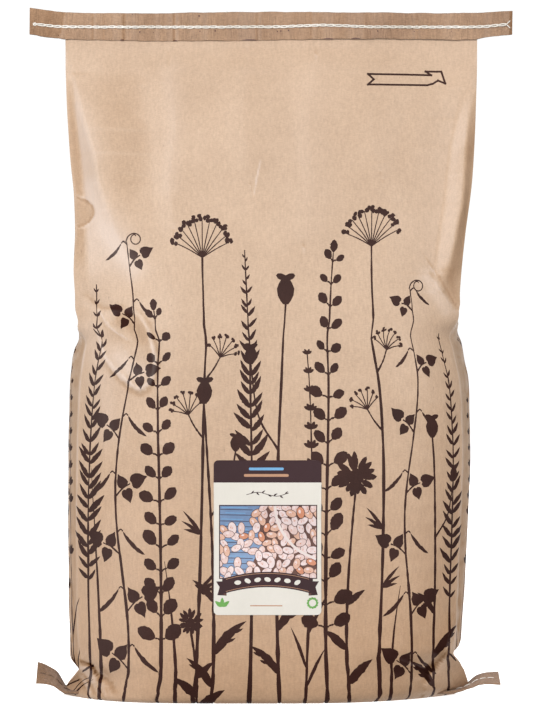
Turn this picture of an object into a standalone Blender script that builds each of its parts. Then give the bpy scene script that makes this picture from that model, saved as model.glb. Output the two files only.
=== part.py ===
"""A standing, sewn kraft paper sack of dried beans.

Sizes are in millimetres here and turned into metres as each mesh is made.
The front faces -Y, the width runs along X, and the floor is at height 0.
"""
import bpy
import bmesh
import numpy as np

# Paper sizes
FACE = 343.0          # flat width of the front, and of the back
GUSSET = 89.0         # flat width of each side gusset
HALF = FACE / 2
LEAF = GUSSET / 2
MOUTH_TOP = 566.0     # height of the flattened mouth under its tape

# Top tape
TAPE_WALL = 0.6
TAPE_HALF = 1.9       # half of its thickness over the mouth
TAIL_HALF = 0.9       # half of its thickness in the tails
TAPE_REACH = 201.0
SLOT_HALF = 1.3
SLOT_REACH = 172.4

# Thread
PITCH = 6.5           # one stitch
CHAIN_R = 1.15
DASH_R = 0.6
THREAD_GAP = 0.3

# Bottom seam, folded flat toward the front in a groove of the base
SEAM_FRONT = -23.8
SEAM_BACK = -0.6
SEAM_LOW = 2.6
SEAM_HIGH = 5.2
FIN_LOW, FIN_HIGH = 3.5, 4.3
FIN_FROM, FIN_TO = -166.0, 146.0
GROOVE = 7.2          # its depth

# Label on the front
LABEL_X = (-46.4, 40.3)
LABEL_Z = (73.0, 197.5)
LABEL_GAP = 0.3
LABEL_THICK = 0.4
LABEL_CORNER = 4.0

# Half widths at the two front fold lines, as height and millimetres
FOLD_LEFT = (
    (0, 172.0), (2, 173.6), (8, 168.5), (16, 162.0), (30, 158.5), (60, 158.0),
    (250, 158.0), (303, 156.8), (326, 158.4), (392, 161.2), (453, 166.3),
    (492, 169.4), (544, 171.3), (567, 171.5),
)
FOLD_RIGHT = (
    (0, 152.0), (4, 160.0), (8, 164.0), (14, 162.0), (25, 157.0), (34, 153.0),
    (60, 152.5), (250, 153.0), (303, 152.8), (320, 152.6), (345, 154.9),
    (383, 159.2), (426, 165.1), (453, 167.2), (484, 168.9), (544, 171.5), (567, 171.5),
)

# Half widths at the middle of each gusset, where the beans push it out
SIDE_LEFT = (
    (0, 158.0), (16, 163.0), (35, 167.0), (100, 167.8), (161, 168.2), (213, 167.8),
    (256, 166.6), (285, 163.4), (303, 157.0), (330, 150.0), (567, 150.0),
)
SIDE_RIGHT = (
    (0, 148.0), (33, 153.5), (45, 157.7), (62, 158.8), (106, 161.0), (149, 162.8),
    (205, 165.3), (241, 165.0), (270, 163.2), (292, 158.5), (306, 153.5),
    (330, 147.0), (567, 147.0),
)

# Half depth at the fold lines, and in the middle of the face
FOLD_DEPTH = (
    (0, 1.4), (3, 1.6), (16, 12.0), (33, 28.0), (50, 41.0), (300, 42.5), (326, 40.5),
    (392, 31.0), (453, 19.0), (492, 10.5), (520, 3.6), (541, 0.8), (567, 0.8),
)
FACE_DEPTH = (
    (0, 61.0), (2, 65.0), (8, 68.5), (20, 71.0), (50, 73.5), (150, 75.0), (205, 74.0),
    (250, 71.0), (300, 64.5), (340, 57.0), (390, 46.5), (440, 34.5), (480, 23.0),
    (515, 10.5), (532, 3.6), (541, 0.95), (567, 0.95),
)

# How much of a section is folded paper (1) rather than paper pushed out (0)
FOLDED_LEFT = ((0, 1), (8, 1), (34, 0), (286, 0), (322, 1), (567, 1))
FOLDED_RIGHT = ((0, 1), (22, 1), (46, 0), (292, 0), (326, 1), (567, 1))

# How square the curve of the folded face is
SQUARE_LEFT = ((0, 5.0), (16, 4.5), (50, 3.0), (300, 2.8), (440, 2.2), (567, 2.2))
SQUARE_RIGHT = ((0, 2.8), (16, 3.0), (50, 3.0), (300, 2.8), (440, 2.2), (567, 2.2))
ROUND_POWER = 3.0     # of the pushed-out section

RING_HEIGHTS = (
    0, 2, 5, 9, 14, 20, 27, 34, 42, 52, 66, 86, 108, 132, 156, 180, 205, 229, 250,
    268, 281, 291, 300, 309, 318, 327, 340, 357, 378, 402, 428, 454, 480, 503, 522,
    533, 541, MOUTH_TOP,
)
QUARTER_STEPS = (
    0, 14, 28, 42, 56, 70, 84, 98, 112, 124, 135, 145, 154, 162, 168, HALF,
    179, 188, 198, 208, HALF + LEAF,
)

# Height of the top tape's upper and lower edges along X
TAPE_UPPER = (
    (-201, 572.0), (-186, 569.8), (-171, 568.0), (-104, 567.2), (-25, 568.3),
    (77, 568.0), (135, 567.3), (171, 567.9), (201, 569.2),
)
TAPE_LOWER = (
    (-201, 549.1), (-176, 545.6), (-126, 544.1), (-83, 543.6), (0, 544.4),
    (77, 545.4), (165, 544.5), (179, 546.6), (201, 549.5),
)
STITCH_HEIGHT = (
    (-201, 557.9), (-173, 555.4), (-104, 555.0), (0, 555.2), (44, 556.6), (85, 555.2),
    (165, 555.0), (201, 558.0),
)

# Bottom seam along X: lift above its place under the base, and turn in degrees
SEAM_LIFT = (
    (-194, 14.2), (-183, 7.0), (-174, 0.8), (-166, 0.0), (146, 0.0), (164, 3.4),
    (176, 6.6), (189, 9.2),
)
SEAM_TURN = ((-194, -43.0), (-184, -36.0), (-172, 0.0), (160, 0.0), (189, -14.0))
SEAM_ENDS = (-194.0, 189.0)


def curve(table, at):
    """Smooth values through a table of points, with no overshoot."""
    xs = np.array([row[0] for row in table], float)
    ys = np.array([row[1] for row in table], float)
    step = np.diff(xs)
    slope = np.diff(ys) / step
    tangent = np.zeros(len(xs))
    for i in range(1, len(xs) - 1):
        if slope[i - 1] * slope[i] > 0:
            left = 2 * step[i] + step[i - 1]
            right = step[i] + 2 * step[i - 1]
            tangent[i] = (left + right) / (left / slope[i - 1] + right / slope[i])
    tangent[0], tangent[-1] = slope[0], slope[-1]
    at = np.clip(np.asarray(at, float), xs[0], xs[-1])
    i = np.clip(np.searchsorted(xs, at, side="right") - 1, 0, len(step) - 1)
    t = (at - xs[i]) / step[i]
    return (
        (2 * t**3 - 3 * t**2 + 1) * ys[i]
        + (t**3 - 2 * t**2 + t) * step[i] * tangent[i]
        + (3 * t**2 - 2 * t**3) * ys[i + 1]
        + (t**3 - t**2) * step[i] * tangent[i + 1]
    )


def along(xs, ys, wanted):
    """Points at these shares of a curve's own length."""
    run = np.concatenate([[0], np.cumsum(np.hypot(np.diff(xs), np.diff(ys)))])
    run = run / run[-1]
    return np.interp(wanted, run, xs), np.interp(wanted, run, ys)


def quarter(height, right, paper):
    """Half width and half depth of one quarter, by distance along the paper from mid face."""
    paper = np.asarray(paper, float)
    fold = float(curve(FOLD_RIGHT if right else FOLD_LEFT, height))
    side = float(curve(SIDE_RIGHT if right else SIDE_LEFT, height))
    share = float(curve(FOLDED_RIGHT if right else FOLDED_LEFT, height))
    square = float(curve(SQUARE_RIGHT if right else SQUARE_LEFT, height))
    depth = float(curve(FOLD_DEPTH, height))
    face = float(curve(FACE_DEPTH, height))
    t = np.linspace(0, 1, 160)
    face_x, face_y = fold * t, depth + (face - depth) * (1 - t**square)
    inner = fold - np.sqrt(max(LEAF**2 - depth**2, 0))
    on_face = paper <= HALF
    x, y = along(face_x, face_y, np.clip(paper / HALF, 0, 1))
    into = np.clip((paper - HALF) / LEAF, 0, 1)
    x = np.where(on_face, x, fold + (inner - fold) * into)
    y = np.where(on_face, y, depth * (1 - into))
    angle = np.linspace(np.pi / 2, 0, 400)
    round_x = side * np.cos(angle) ** (2 / ROUND_POWER)
    round_y = face * np.sin(angle) ** (2 / ROUND_POWER)
    out_x, out_y = along(round_x, round_y, paper / (HALF + LEAF))
    return out_x + (x - out_x) * share, out_y + (y - out_y) * share


def ring(height, steps):
    """One closed level section, from mid front round by the right side."""
    steps = np.asarray(steps, float)
    right_x, right_y = quarter(height, True, steps)
    left_x, left_y = quarter(height, False, steps)
    parts = (
        (right_x[:-1], -right_y[:-1]),
        (right_x[::-1][:-1], right_y[::-1][:-1]),
        (-left_x[:-1], left_y[:-1]),
        (-left_x[::-1][:-1], -left_y[::-1][:-1]),
    )
    x = np.concatenate([part[0] for part in parts])
    y = np.concatenate([part[1] for part in parts])
    return np.stack([x, y, np.full(len(x), float(height))], axis=1)


def new_mesh(name, points, faces, smooth=40):
    """An object from points in millimetres, its faces turned outward."""
    data = bpy.data.meshes.new(name)
    data.from_pydata([tuple(point) for point in np.asarray(points) / 1000], [], faces)
    work = bmesh.new()
    work.from_mesh(data)
    bmesh.ops.recalc_face_normals(work, faces=work.faces)
    work.to_mesh(data)
    work.free()
    if smooth:
        data.shade_smooth()
        data.set_sharp_from_angle(angle=np.radians(smooth))
    made = bpy.data.objects.new(name, data)
    bpy.context.scene.collection.objects.link(made)
    return made


def lofted(name, rows, smooth=40):
    """A closed body through rows of points, with flat ends."""
    around = len(rows[0])
    faces = []
    for i in range(len(rows) - 1):
        for j in range(around):
            k = (j + 1) % around
            low, high = i * around, (i + 1) * around
            faces.append((low + j, low + k, high + k, high + j))
    faces.append(tuple(range(around))[::-1])
    faces.append(tuple((len(rows) - 1) * around + j for j in range(around)))
    return new_mesh(name, np.concatenate(rows), faces, smooth)


def shell_box(name, low, high):
    """A plain box between two corners."""
    rows = [
        np.array([(x, low[1], low[2]), (x, high[1], low[2]), (x, high[1], high[2]), (x, low[1], high[2])])
        for x in (low[0], high[0])
    ]
    return lofted(name, rows, 0)


def combine(target, other, operation):
    """A Boolean of two objects, after which the other is hidden."""
    other.hide_render = True
    other.display_type = "WIRE"
    made = target.modifiers.new(operation.lower() + "_" + other.name, "BOOLEAN")
    made.operation = operation
    made.solver = "EXACT"
    made.object = other


def cord(name, centre, radius, sides, flat=1.0):
    """A round cord along X through centre points, with its own radius at each."""
    angle = 2 * np.pi * (np.arange(sides) + 0.5) / sides
    rows = []
    for point, r in zip(centre, radius):
        y = point[1] + flat * r * np.cos(angle)
        z = point[2] + r * np.sin(angle)
        rows.append(np.stack([np.full(sides, point[0]), y, z], axis=1))
    return lofted(name, rows, 60)


def paint(made, colour, rough):
    """A plain material of its own for one node."""
    material = bpy.data.materials.new(made.name + "_finish")
    material.use_nodes = True
    shader = material.node_tree.nodes["Principled BSDF"]
    shader.inputs["Base Color"].default_value = (*colour, 1)
    shader.inputs["Roughness"].default_value = rough
    made.data.materials.clear()
    made.data.materials.append(material)
    made.data.polygons.foreach_set("material_index", [0] * len(made.data.polygons))


def seam_point(x, across, up):
    """A point of the bottom seam: across is toward the back, up is off the floor."""
    middle = (SEAM_FRONT + SEAM_BACK) / 2
    level = (SEAM_LOW + SEAM_HIGH) / 2
    turn = np.radians(float(curve(SEAM_TURN, x)))
    lift = float(curve(SEAM_LIFT, x))
    a, u = across - middle, up - level
    y = middle + a * np.cos(turn) + u * np.sin(turn)
    z = level + lift - a * np.sin(turn) + u * np.cos(turn)
    return (x, y, z)


def make_sack():
    sack = lofted("sack", [ring(height, QUARTER_STEPS) for height in RING_HEIGHTS], 38)
    rows = []
    for x in (-190, -150, 0, 130, 146, 155, 164, 176):
        top = GROOVE + float(curve(SEAM_LIFT, x if x > 0 else 0))
        rows.append(np.array([
            (x, SEAM_FRONT - 0.7, -1.0),
            (x, 0.0, -1.0),
            (x, 0.0, top),
            (x, SEAM_FRONT - 0.7, top),
        ]))
    combine(sack, lofted("groove", rows, 0), "DIFFERENCE")
    fin = shell_box("fin", (FIN_FROM, SEAM_FRONT + 1.6, FIN_LOW), (FIN_TO, 0.9, FIN_HIGH))
    combine(sack, fin, "UNION")
    paint(sack, (0.68, 0.49, 0.34), 0.75)


def make_top_tape():
    rows = []
    stations = [-TAPE_REACH, -194, -187, -180, *np.linspace(-173, 173, 25), 180, 187, 194, TAPE_REACH]
    for x in stations:
        out = float(np.interp(abs(x), (173, 181), (TAPE_HALF, TAIL_HALF)))
        low, high = float(curve(TAPE_LOWER, x)), float(curve(TAPE_UPPER, x))
        curl = 0.16 * max(abs(x) - 176, 0) * (1 if x > 0 else -0.5)
        rows.append(np.array([
            (x, -out + curl, low), (x, out + curl, low),
            (x, out, high - 0.4), (x, out - 0.4, high), (x, -out + 0.4, high), (x, -out, high - 0.4),
        ]))
    tape = lofted("top_tape", rows)
    slot = shell_box("tape_slot", (-SLOT_REACH, -SLOT_HALF, 530), (SLOT_REACH, SLOT_HALF, MOUTH_TOP + 0.3))
    combine(tape, slot, "DIFFERENCE")
    paint(tape, (0.50, 0.33, 0.205), 0.8)


def tape_side(x, toward):
    """Depth of the top tape's surface at the stitch line."""
    out = float(np.interp(abs(x), (173, 181), (TAPE_HALF, TAIL_HALF)))
    low, high = float(curve(TAPE_LOWER, x)), float(curve(TAPE_UPPER, x))
    part = (high - float(curve(STITCH_HEIGHT, x))) / (high - low)
    curl = 0.16 * max(abs(x) - 176, 0) * (1 if x > 0 else -0.5)
    return toward * out + curl * part


def make_top_thread():
    xs = np.arange(-198, 198.1, PITCH / 4)
    swell = np.abs(np.sin(np.pi * xs / PITCH))
    radius = CHAIN_R * (0.68 + 0.32 * swell)
    centre = [(x, tape_side(x, -1) - THREAD_GAP - CHAIN_R, float(curve(STITCH_HEIGHT, x))) for x in xs]
    chain = cord("top_chain", centre, radius, 5)
    paint(chain, (0.86, 0.80, 0.70), 0.7)
    xs = np.arange(-198, 198.1, PITCH / 2)
    radius = np.where(np.arange(len(xs)) % 2, DASH_R, DASH_R * 0.55)
    centre = [(x, tape_side(x, 1) + THREAD_GAP + DASH_R, float(curve(STITCH_HEIGHT, x))) for x in xs]
    dashes = cord("top_stitches", centre, radius, 5)
    paint(dashes, (0.86, 0.80, 0.70), 0.7)


def make_bottom_tape():
    left, right = SEAM_ENDS
    rows = []
    stations = [*np.linspace(left, -168, 12), *np.linspace(-150, 130, 8), *np.linspace(146, right, 14)]
    for x in stations:
        corners = (
            (SEAM_FRONT, SEAM_LOW + 0.5), (SEAM_FRONT + 0.5, SEAM_LOW), (SEAM_BACK, SEAM_LOW),
            (SEAM_BACK, SEAM_HIGH), (SEAM_FRONT + 0.5, SEAM_HIGH), (SEAM_FRONT, SEAM_HIGH - 0.5),
        )
        rows.append(np.array([seam_point(x, across, up) for across, up in corners]))
    tape = lofted("bottom_tape", rows)
    slot = shell_box(
        "seam_slot",
        (FIN_FROM - 0.4, SEAM_FRONT + 1.2, SEAM_LOW + TAPE_WALL),
        (FIN_TO + 0.4, 2.0, SEAM_HIGH - TAPE_WALL),
    )
    combine(tape, slot, "DIFFERENCE")
    paint(tape, (0.40, 0.265, 0.165), 0.8)


def make_bottom_thread():
    left, right = SEAM_ENDS
    middle = (SEAM_FRONT + SEAM_BACK) / 2
    xs = np.arange(left + 2, right - 1.5, PITCH / 3)
    swell = np.abs(np.sin(np.pi * xs / PITCH))
    clear = np.interp(xs, (-186, -172, -160, 140, 160), (1.1, 0.8, 0.35, 0.35, 0.9))
    centre = [seam_point(x, middle, SEAM_LOW - gap - 0.9) for x, gap in zip(xs, clear)]
    chain = cord("bottom_chain", centre, 0.9 * (0.68 + 0.32 * swell), 5)
    paint(chain, (0.80, 0.74, 0.64), 0.7)
    xs = np.arange(left + 2, right - 1.5, PITCH / 2)
    clear = np.interp(xs, (-186, -172, -160, 140, 160), (1.1, 0.8, 0.35, 0.35, 0.9))
    centre = [seam_point(x, middle, SEAM_HIGH + gap + 0.5) for x, gap in zip(xs, clear)]
    radius = np.where(np.arange(len(xs)) % 2, 0.5, 0.3)
    dashes = cord("bottom_stitches", centre, radius, 5)
    paint(dashes, (0.80, 0.74, 0.64), 0.7)


def front_depth(x, height):
    """Depth of the sack's front below the waist."""
    steps = np.linspace(0, HALF, 60)
    half, depth = quarter(height, x > 0, steps)
    return -float(np.interp(abs(x), half, depth))


def make_label():
    """A thin patch that follows the paper, with rounded corners."""
    wide = (LABEL_X[1] - LABEL_X[0]) / 2
    tall = (LABEL_Z[1] - LABEL_Z[0]) / 2
    mid_x, mid_z = sum(LABEL_X) / 2, sum(LABEL_Z) / 2
    outline = []
    for sx, sz, start in ((1, 1, 0), (-1, 1, 90), (-1, -1, 180), (1, -1, 270)):
        for turn in (0, 30, 60, 90):
            a = np.radians(start + turn)
            outline.append((
                sx * (wide - LABEL_CORNER) + LABEL_CORNER * np.cos(a),
                sz * (tall - LABEL_CORNER) + LABEL_CORNER * np.sin(a),
            ))
    columns = np.linspace(-wide, wide, 7)
    outline_x = np.array([p[0] for p in outline])
    outline_z = np.array([p[1] for p in outline])
    columns = np.unique(np.round(np.concatenate([columns, outline_x]), 4))
    rows_up = np.linspace(-1, 1, 9)
    points, faces, grid = [], [], {}
    for i, x in enumerate(columns):
        inset = max(abs(x) - (wide - LABEL_CORNER), 0)
        reach = tall - LABEL_CORNER + np.sqrt(max(LABEL_CORNER**2 - inset**2, 0))
        for j, share in enumerate(rows_up):
            z = mid_z + share * reach
            y = front_depth(mid_x + x, z)
            grid[i, j] = len(points)
            points.append((mid_x + x, y - LABEL_GAP, z))
            points.append((mid_x + x, y - LABEL_GAP - LABEL_THICK, z))
    last_i, last_j = len(columns) - 1, len(rows_up) - 1
    for i in range(last_i):
        for j in range(last_j):
            a, b, c, d = grid[i, j], grid[i + 1, j], grid[i + 1, j + 1], grid[i, j + 1]
            faces.append((a, b, c, d))
            faces.append((a + 1, d + 1, c + 1, b + 1))
    border = [(i, 0) for i in range(last_i)] + [(last_i, j) for j in range(last_j)]
    border += [(i, last_j) for i in range(last_i, 0, -1)] + [(0, j) for j in range(last_j, 0, -1)]
    for one, two in zip(border, border[1:] + border[:1]):
        a, b = grid[one], grid[two]
        faces.append((a, a + 1, b + 1, b))
    label = new_mesh("label", points, faces, 30)
    paint(label, (0.84, 0.80, 0.74), 0.55)


for old in list(bpy.data.objects):
    bpy.data.objects.remove(old)
make_sack()
make_top_tape()
make_top_thread()
make_bottom_tape()
make_bottom_thread()
make_label()
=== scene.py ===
import math
import bpy
import bmesh
import numpy as np
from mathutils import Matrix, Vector
from mathutils.geometry import delaunay_2d_cdt


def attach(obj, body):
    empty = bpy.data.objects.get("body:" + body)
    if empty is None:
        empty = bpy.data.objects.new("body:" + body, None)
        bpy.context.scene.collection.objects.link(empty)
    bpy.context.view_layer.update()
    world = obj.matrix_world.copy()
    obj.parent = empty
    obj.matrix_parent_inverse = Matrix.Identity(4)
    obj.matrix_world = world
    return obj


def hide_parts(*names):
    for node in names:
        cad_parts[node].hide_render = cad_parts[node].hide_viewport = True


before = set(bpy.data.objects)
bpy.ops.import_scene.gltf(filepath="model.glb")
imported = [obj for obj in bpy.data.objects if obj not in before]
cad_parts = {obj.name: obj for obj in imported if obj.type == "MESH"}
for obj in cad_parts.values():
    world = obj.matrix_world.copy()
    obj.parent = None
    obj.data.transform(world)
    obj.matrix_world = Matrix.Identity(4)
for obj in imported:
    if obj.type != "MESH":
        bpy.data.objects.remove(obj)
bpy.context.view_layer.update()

# Sizes are in millimetres until a mesh is made. S runs along the paper round the sack from
# the middle of the front (0), over the right gusset (171.5 to 260.5), to the middle of the
# back (432), and the same to the left with a minus sign. H is height above the floor.
HALF = 171.5          # S of the front's fold lines
LEAF = 44.5           # half of a gusset
TURN = HALF + LEAF    # S of the gusset's middle
WHOLE = 2 * TURN      # S of the middle of the back
S_STEP = 0.5
MOUTH_TOP = 566.0
FLAT_FROM = 541.0     # the paper is flat from here up to the mouth
BASE_RUN = 60.0       # from the foot of the sack in to the bottom seam

# Half widths at the fold lines of each side, as height and millimetres
FOLD_LEFT = (
    (0, 172.0), (2, 173.6), (8, 170.0), (16, 166.5), (25, 164.0), (36, 160.0), (60, 158.0),
    (250, 158.0), (288, 159.2), (292, 163.0), (296, 168.0), (300, 171.6), (304, 170.6),
    (308, 165.0), (311, 162.6), (315, 161.4), (321, 160.9), (330, 161.0), (352, 162.4),
    (392, 162.0), (453, 166.6), (492, 169.4), (544, 171.3), (567, 171.5),
)
FOLD_RIGHT = (
    (0, 152.0), (4, 160.0), (8, 164.0), (14, 162.4), (25, 158.4), (34, 155.6), (46, 154.0),
    (60, 152.5), (250, 153.0), (288, 153.8), (295, 156.0), (299, 159.8), (303, 162.8),
    (307, 163.2), (311, 160.8), (315, 157.4), (320, 154.8), (330, 154.2), (345, 155.0),
    (383, 159.2), (426, 165.1), (453, 167.2), (484, 168.9), (544, 171.5), (567, 171.5),
)
# Half widths at the middle of each gusset, where the beans push it out
SIDE_LEFT = (
    (0, 158.0), (16, 163.0), (35, 167.0), (100, 167.8), (161, 168.2), (213, 167.8),
    (256, 166.6), (285, 163.4), (303, 157.0), (330, 150.0), (567, 150.0),
)
SIDE_RIGHT = (
    (0, 148.0), (33, 153.5), (45, 157.7), (62, 158.8), (106, 161.0), (149, 162.8),
    (205, 165.0), (241, 164.6), (262, 163.0), (276, 159.6), (292, 156.0), (306, 152.0),
    (330, 147.0), (567, 147.0),
)
# Half depth at the fold lines, and in the middle of the face
FOLD_DEPTH = (
    (0, 1.4), (3, 1.6), (16, 12.0), (33, 28.0), (50, 41.0), (300, 42.5), (326, 40.5),
    (392, 31.0), (453, 19.0), (492, 10.5), (520, 3.6), (541, 0.8), (567, 0.8),
)
FACE_DEPTH = (
    (0, 61.0), (2, 65.0), (8, 68.5), (20, 71.0), (50, 73.5), (150, 75.0), (205, 74.0),
    (250, 71.0), (300, 64.5), (340, 57.0), (390, 46.5), (440, 34.5), (480, 23.0),
    (515, 10.5), (532, 3.6), (541, 0.95), (567, 0.95),
)
# How much of a section is folded paper (1) rather than paper pushed out (0)
FOLDED_LEFT = ((0, 1), (8, 1), (34, 0), (286, 0), (322, 1), (567, 1))
FOLDED_RIGHT = ((0, 1), (22, 1), (46, 0), (292, 0), (326, 1), (567, 1))
# How square the curve of the folded face is, and that of the pushed-out section
SQUARE_LEFT = ((0, 5.0), (16, 4.5), (50, 3.0), (300, 2.8), (440, 2.2), (567, 2.2))
SQUARE_RIGHT = ((0, 2.8), (16, 3.0), (50, 3.0), (300, 2.8), (440, 2.2), (567, 2.2))
ROUND_POWER = 3.0

# S of the glued lap up the back: its step up on one side, and its fading edge on the other
LAP = (387.0, 388.0, 413.0, 415.0)

# Height of the top tape's edges and of its stitch line along X
TAPE_UPPER = (
    (-201, 572.0), (-186, 569.8), (-171, 568.0), (-104, 567.2), (-25, 568.3),
    (77, 568.0), (135, 567.3), (171, 567.9), (201, 569.2),
)
TAPE_LOWER = (
    (-201, 549.1), (-176, 545.6), (-126, 544.1), (-83, 543.6), (0, 544.4),
    (77, 545.4), (165, 544.5), (179, 546.6), (201, 549.5),
)
STITCH_HEIGHT = (
    (-201, 557.9), (-173, 555.4), (-104, 555.0), (0, 555.2), (44, 556.6), (85, 555.2),
    (165, 555.0), (201, 558.0),
)
# Lift of the bottom seam's tape off the base along X, and its turn in degrees
SEAM_LIFT = (
    (-194, 15.0), (-190, 14.4), (-184, 12.6), (-178, 9.6), (-174, 5.0), (-170, 1.0), (-166, 0.0),
    (146, 0.0), (156, 1.6), (164, 4.9), (172, 9.2), (180, 10.4), (189, 10.3),
)
SEAM_TURN = (
    (-194, -42.0), (-190, -38.0), (-184, -31.0), (-177, -24.0), (-171, -6.0), (-167, 0.0),
    (160, 0.0), (168, -10.0), (189, -18.0),
)
SEAM_ENDS = (-194.0, 189.0)
SEAM_FRONT, SEAM_BACK = -23.8, -0.6
SEAM_MIDDLE = (SEAM_FRONT + SEAM_BACK) / 2
SEAM_LEVEL = 3.9
PITCH = 6.5           # of both seams' stitches

LABEL_X = (-46.4, 40.3)
LABEL_Z = (73.0, 197.5)


def curve(table, at):
    """Smooth values through a table of points, with no overshoot."""
    xs = np.array([row[0] for row in table], float)
    ys = np.array([row[1] for row in table], float)
    step = np.diff(xs)
    slope = np.diff(ys) / step
    tangent = np.zeros(len(xs))
    for i in range(1, len(xs) - 1):
        if slope[i - 1] * slope[i] > 0:
            left = 2 * step[i] + step[i - 1]
            right = step[i] + 2 * step[i - 1]
            tangent[i] = (left + right) / (left / slope[i - 1] + right / slope[i])
    tangent[0], tangent[-1] = slope[0], slope[-1]
    at = np.clip(np.asarray(at, float), xs[0], xs[-1])
    i = np.clip(np.searchsorted(xs, at, side="right") - 1, 0, len(step) - 1)
    t = (at - xs[i]) / step[i]
    return (
        (2 * t**3 - 3 * t**2 + 1) * ys[i]
        + (t**3 - 2 * t**2 + t) * step[i] * tangent[i]
        + (3 * t**2 - 2 * t**3) * ys[i + 1]
        + (t**3 - t**2) * step[i] * tangent[i + 1]
    )


def along(xs, ys, wanted):
    """Points at these shares of a curve's own length."""
    run = np.concatenate([[0], np.cumsum(np.hypot(np.diff(xs), np.diff(ys)))])
    run = run / run[-1]
    return np.interp(wanted, run, xs), np.interp(wanted, run, ys)


def quarter(height, right, paper):
    """Half width and half depth of one quarter, by distance along the paper from mid face."""
    fold = float(curve(FOLD_RIGHT if right else FOLD_LEFT, height))
    side = float(curve(SIDE_RIGHT if right else SIDE_LEFT, height))
    share = float(curve(FOLDED_RIGHT if right else FOLDED_LEFT, height))
    square = float(curve(SQUARE_RIGHT if right else SQUARE_LEFT, height))
    depth = float(curve(FOLD_DEPTH, height))
    face = float(curve(FACE_DEPTH, height))
    t = np.linspace(0, 1, 160)
    face_x, face_y = fold * t, depth + (face - depth) * (1 - t**square)
    inner = fold - np.sqrt(max(LEAF**2 - depth**2, 0))
    on_face = paper <= HALF
    x, y = along(face_x, face_y, np.clip(paper / HALF, 0, 1))
    into = np.clip((paper - HALF) / LEAF, 0, 1)
    x = np.where(on_face, x, fold + (inner - fold) * into)
    y = np.where(on_face, y, depth * (1 - into))
    angle = np.linspace(np.pi / 2, 0, 400)
    round_x = side * np.cos(angle) ** (2 / ROUND_POWER)
    round_y = face * np.sin(angle) ** (2 / ROUND_POWER)
    out_x, out_y = along(round_x, round_y, paper / TURN)
    return out_x + (x - out_x) * share, out_y + (y - out_y) * share


def lattice(s, h, wide, tall, seed):
    """Smooth noise from -1 to 1 that repeats round the sack."""
    count = max(2, round(2 * WHOLE / wide))
    values = np.random.default_rng(seed).uniform(-1, 1, (int(700 / tall) + 6, count))
    a = (s + WHOLE) / (2 * WHOLE) * count
    b = (h + 70) / tall
    ia, ib = np.floor(a).astype(int), np.floor(b).astype(int)
    fa, fb = a - ia, b - ib
    fa, fb = fa * fa * (3 - 2 * fa), fb * fb * (3 - 2 * fb)
    ia0, ia1 = ia % count, (ia + 1) % count
    low = values[ib, ia0] * (1 - fa) + values[ib, ia1] * fa
    high = values[ib + 1, ia0] * (1 - fa) + values[ib + 1, ia1] * fa
    return low * (1 - fb) + high * fb


def step_up(x, low, high):
    """0 below low, 1 above high, smooth between."""
    t = np.clip((x - low) / (high - low), 0, 1)
    return t * t * (3 - 2 * t)


def bell(distance, width):
    """1 at no distance, falling off to both sides."""
    return np.exp(-((distance / width) ** 2))


def line_distance(x, z, points):
    """Distance to a line of points, the share of it at the nearest point, and whether that is its left
    side."""
    best = np.full(x.shape, 1e9)
    where = np.zeros(x.shape)
    left = np.zeros(x.shape, bool)
    lengths = [math.dist(a, b) for a, b in zip(points, points[1:])]
    total, run = sum(lengths), 0.0
    for (ax, az), (bx, bz), length in zip(points, points[1:], lengths):
        t = np.clip(((x - ax) * (bx - ax) + (z - az) * (bz - az)) / length**2, 0, 1)
        d = np.hypot(x - ax - t * (bx - ax), z - az - t * (bz - az))
        near = d < best
        best = np.where(near, d, best)
        where = np.where(near, (run + t * length) / total, where)
        left = np.where(near, (bx - ax) * (z - az) - (bz - az) * (x - ax) > 0, left)
        run += length
    return best, where, left


def inside(points, shape):
    """Which points lie inside a closed outline."""
    px, pz = points[:, 0], points[:, 1]
    turns = np.zeros(len(points), int)
    for (ax, az), (bx, bz) in zip(shape, shape[1:] + shape[:1]):
        left = (bx - ax) * (pz - az) - (bz - az) * (px - ax)
        turns += (az <= pz) & (bz > pz) & (left > 0)
        turns -= (az > pz) & (bz <= pz) & (left < 0)
    return turns != 0


def rounded(points, steps=8):
    """A smooth line through points."""
    p = [np.array(q, float) for q in points]
    p = [2 * p[0] - p[1]] + p + [2 * p[-1] - p[-2]]
    made = []
    for a, b, c, d in zip(p, p[1:], p[2:], p[3:]):
        for t in np.arange(steps) / steps:
            square, cube = 2 * a - 5 * b + 4 * c - d, 3 * b - a - 3 * c + d
            made.append(0.5 * (2 * b + (c - a) * t + square * t**2 + cube * t**3))
    made.append(p[-2])
    return [tuple(q) for q in made]


# Long folds beside the front's two edges. Each row is a height and then three places, as the
# distance in from the edge and the height out of the face: edge to first to second to the end.
LEFT_FOLD = (
    (330, 14, 0.0, 60, 0.0, 95), (352, 12, 0.0, 54, 1.8, 95), (383, 9, -0.8, 38, 4.0, 84),
    (400, 8.5, -1.8, 30, 5.0, 78), (423, 8.0, -3.0, 23, 5.4, 76), (447, 7.5, -3.0, 21, 5.6, 76),
    (468, 6.0, -2.4, 16, 4.6, 70), (488, 4.5, -1.4, 11, 2.8, 50), (516, 3, 0.0, 5, 0.0, 30),
)
RIGHT_FOLD = (
    (333, 15, 0.0, 26, 0.0, 50), (349, 14, 3.2, 25, -1.6, 64), (375, 10.4, 4.8, 23, -2.4, 70),
    (406, 7.6, 4.8, 21, -3.0, 70), (430, 8.6, 4.4, 21, -3.0, 66), (455, 8.0, 3.4, 19, -2.6, 62),
    (478, 6.5, 2.0, 15, -1.8, 50), (504, 4, 0.0, 9, 0.0, 30),
)

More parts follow.
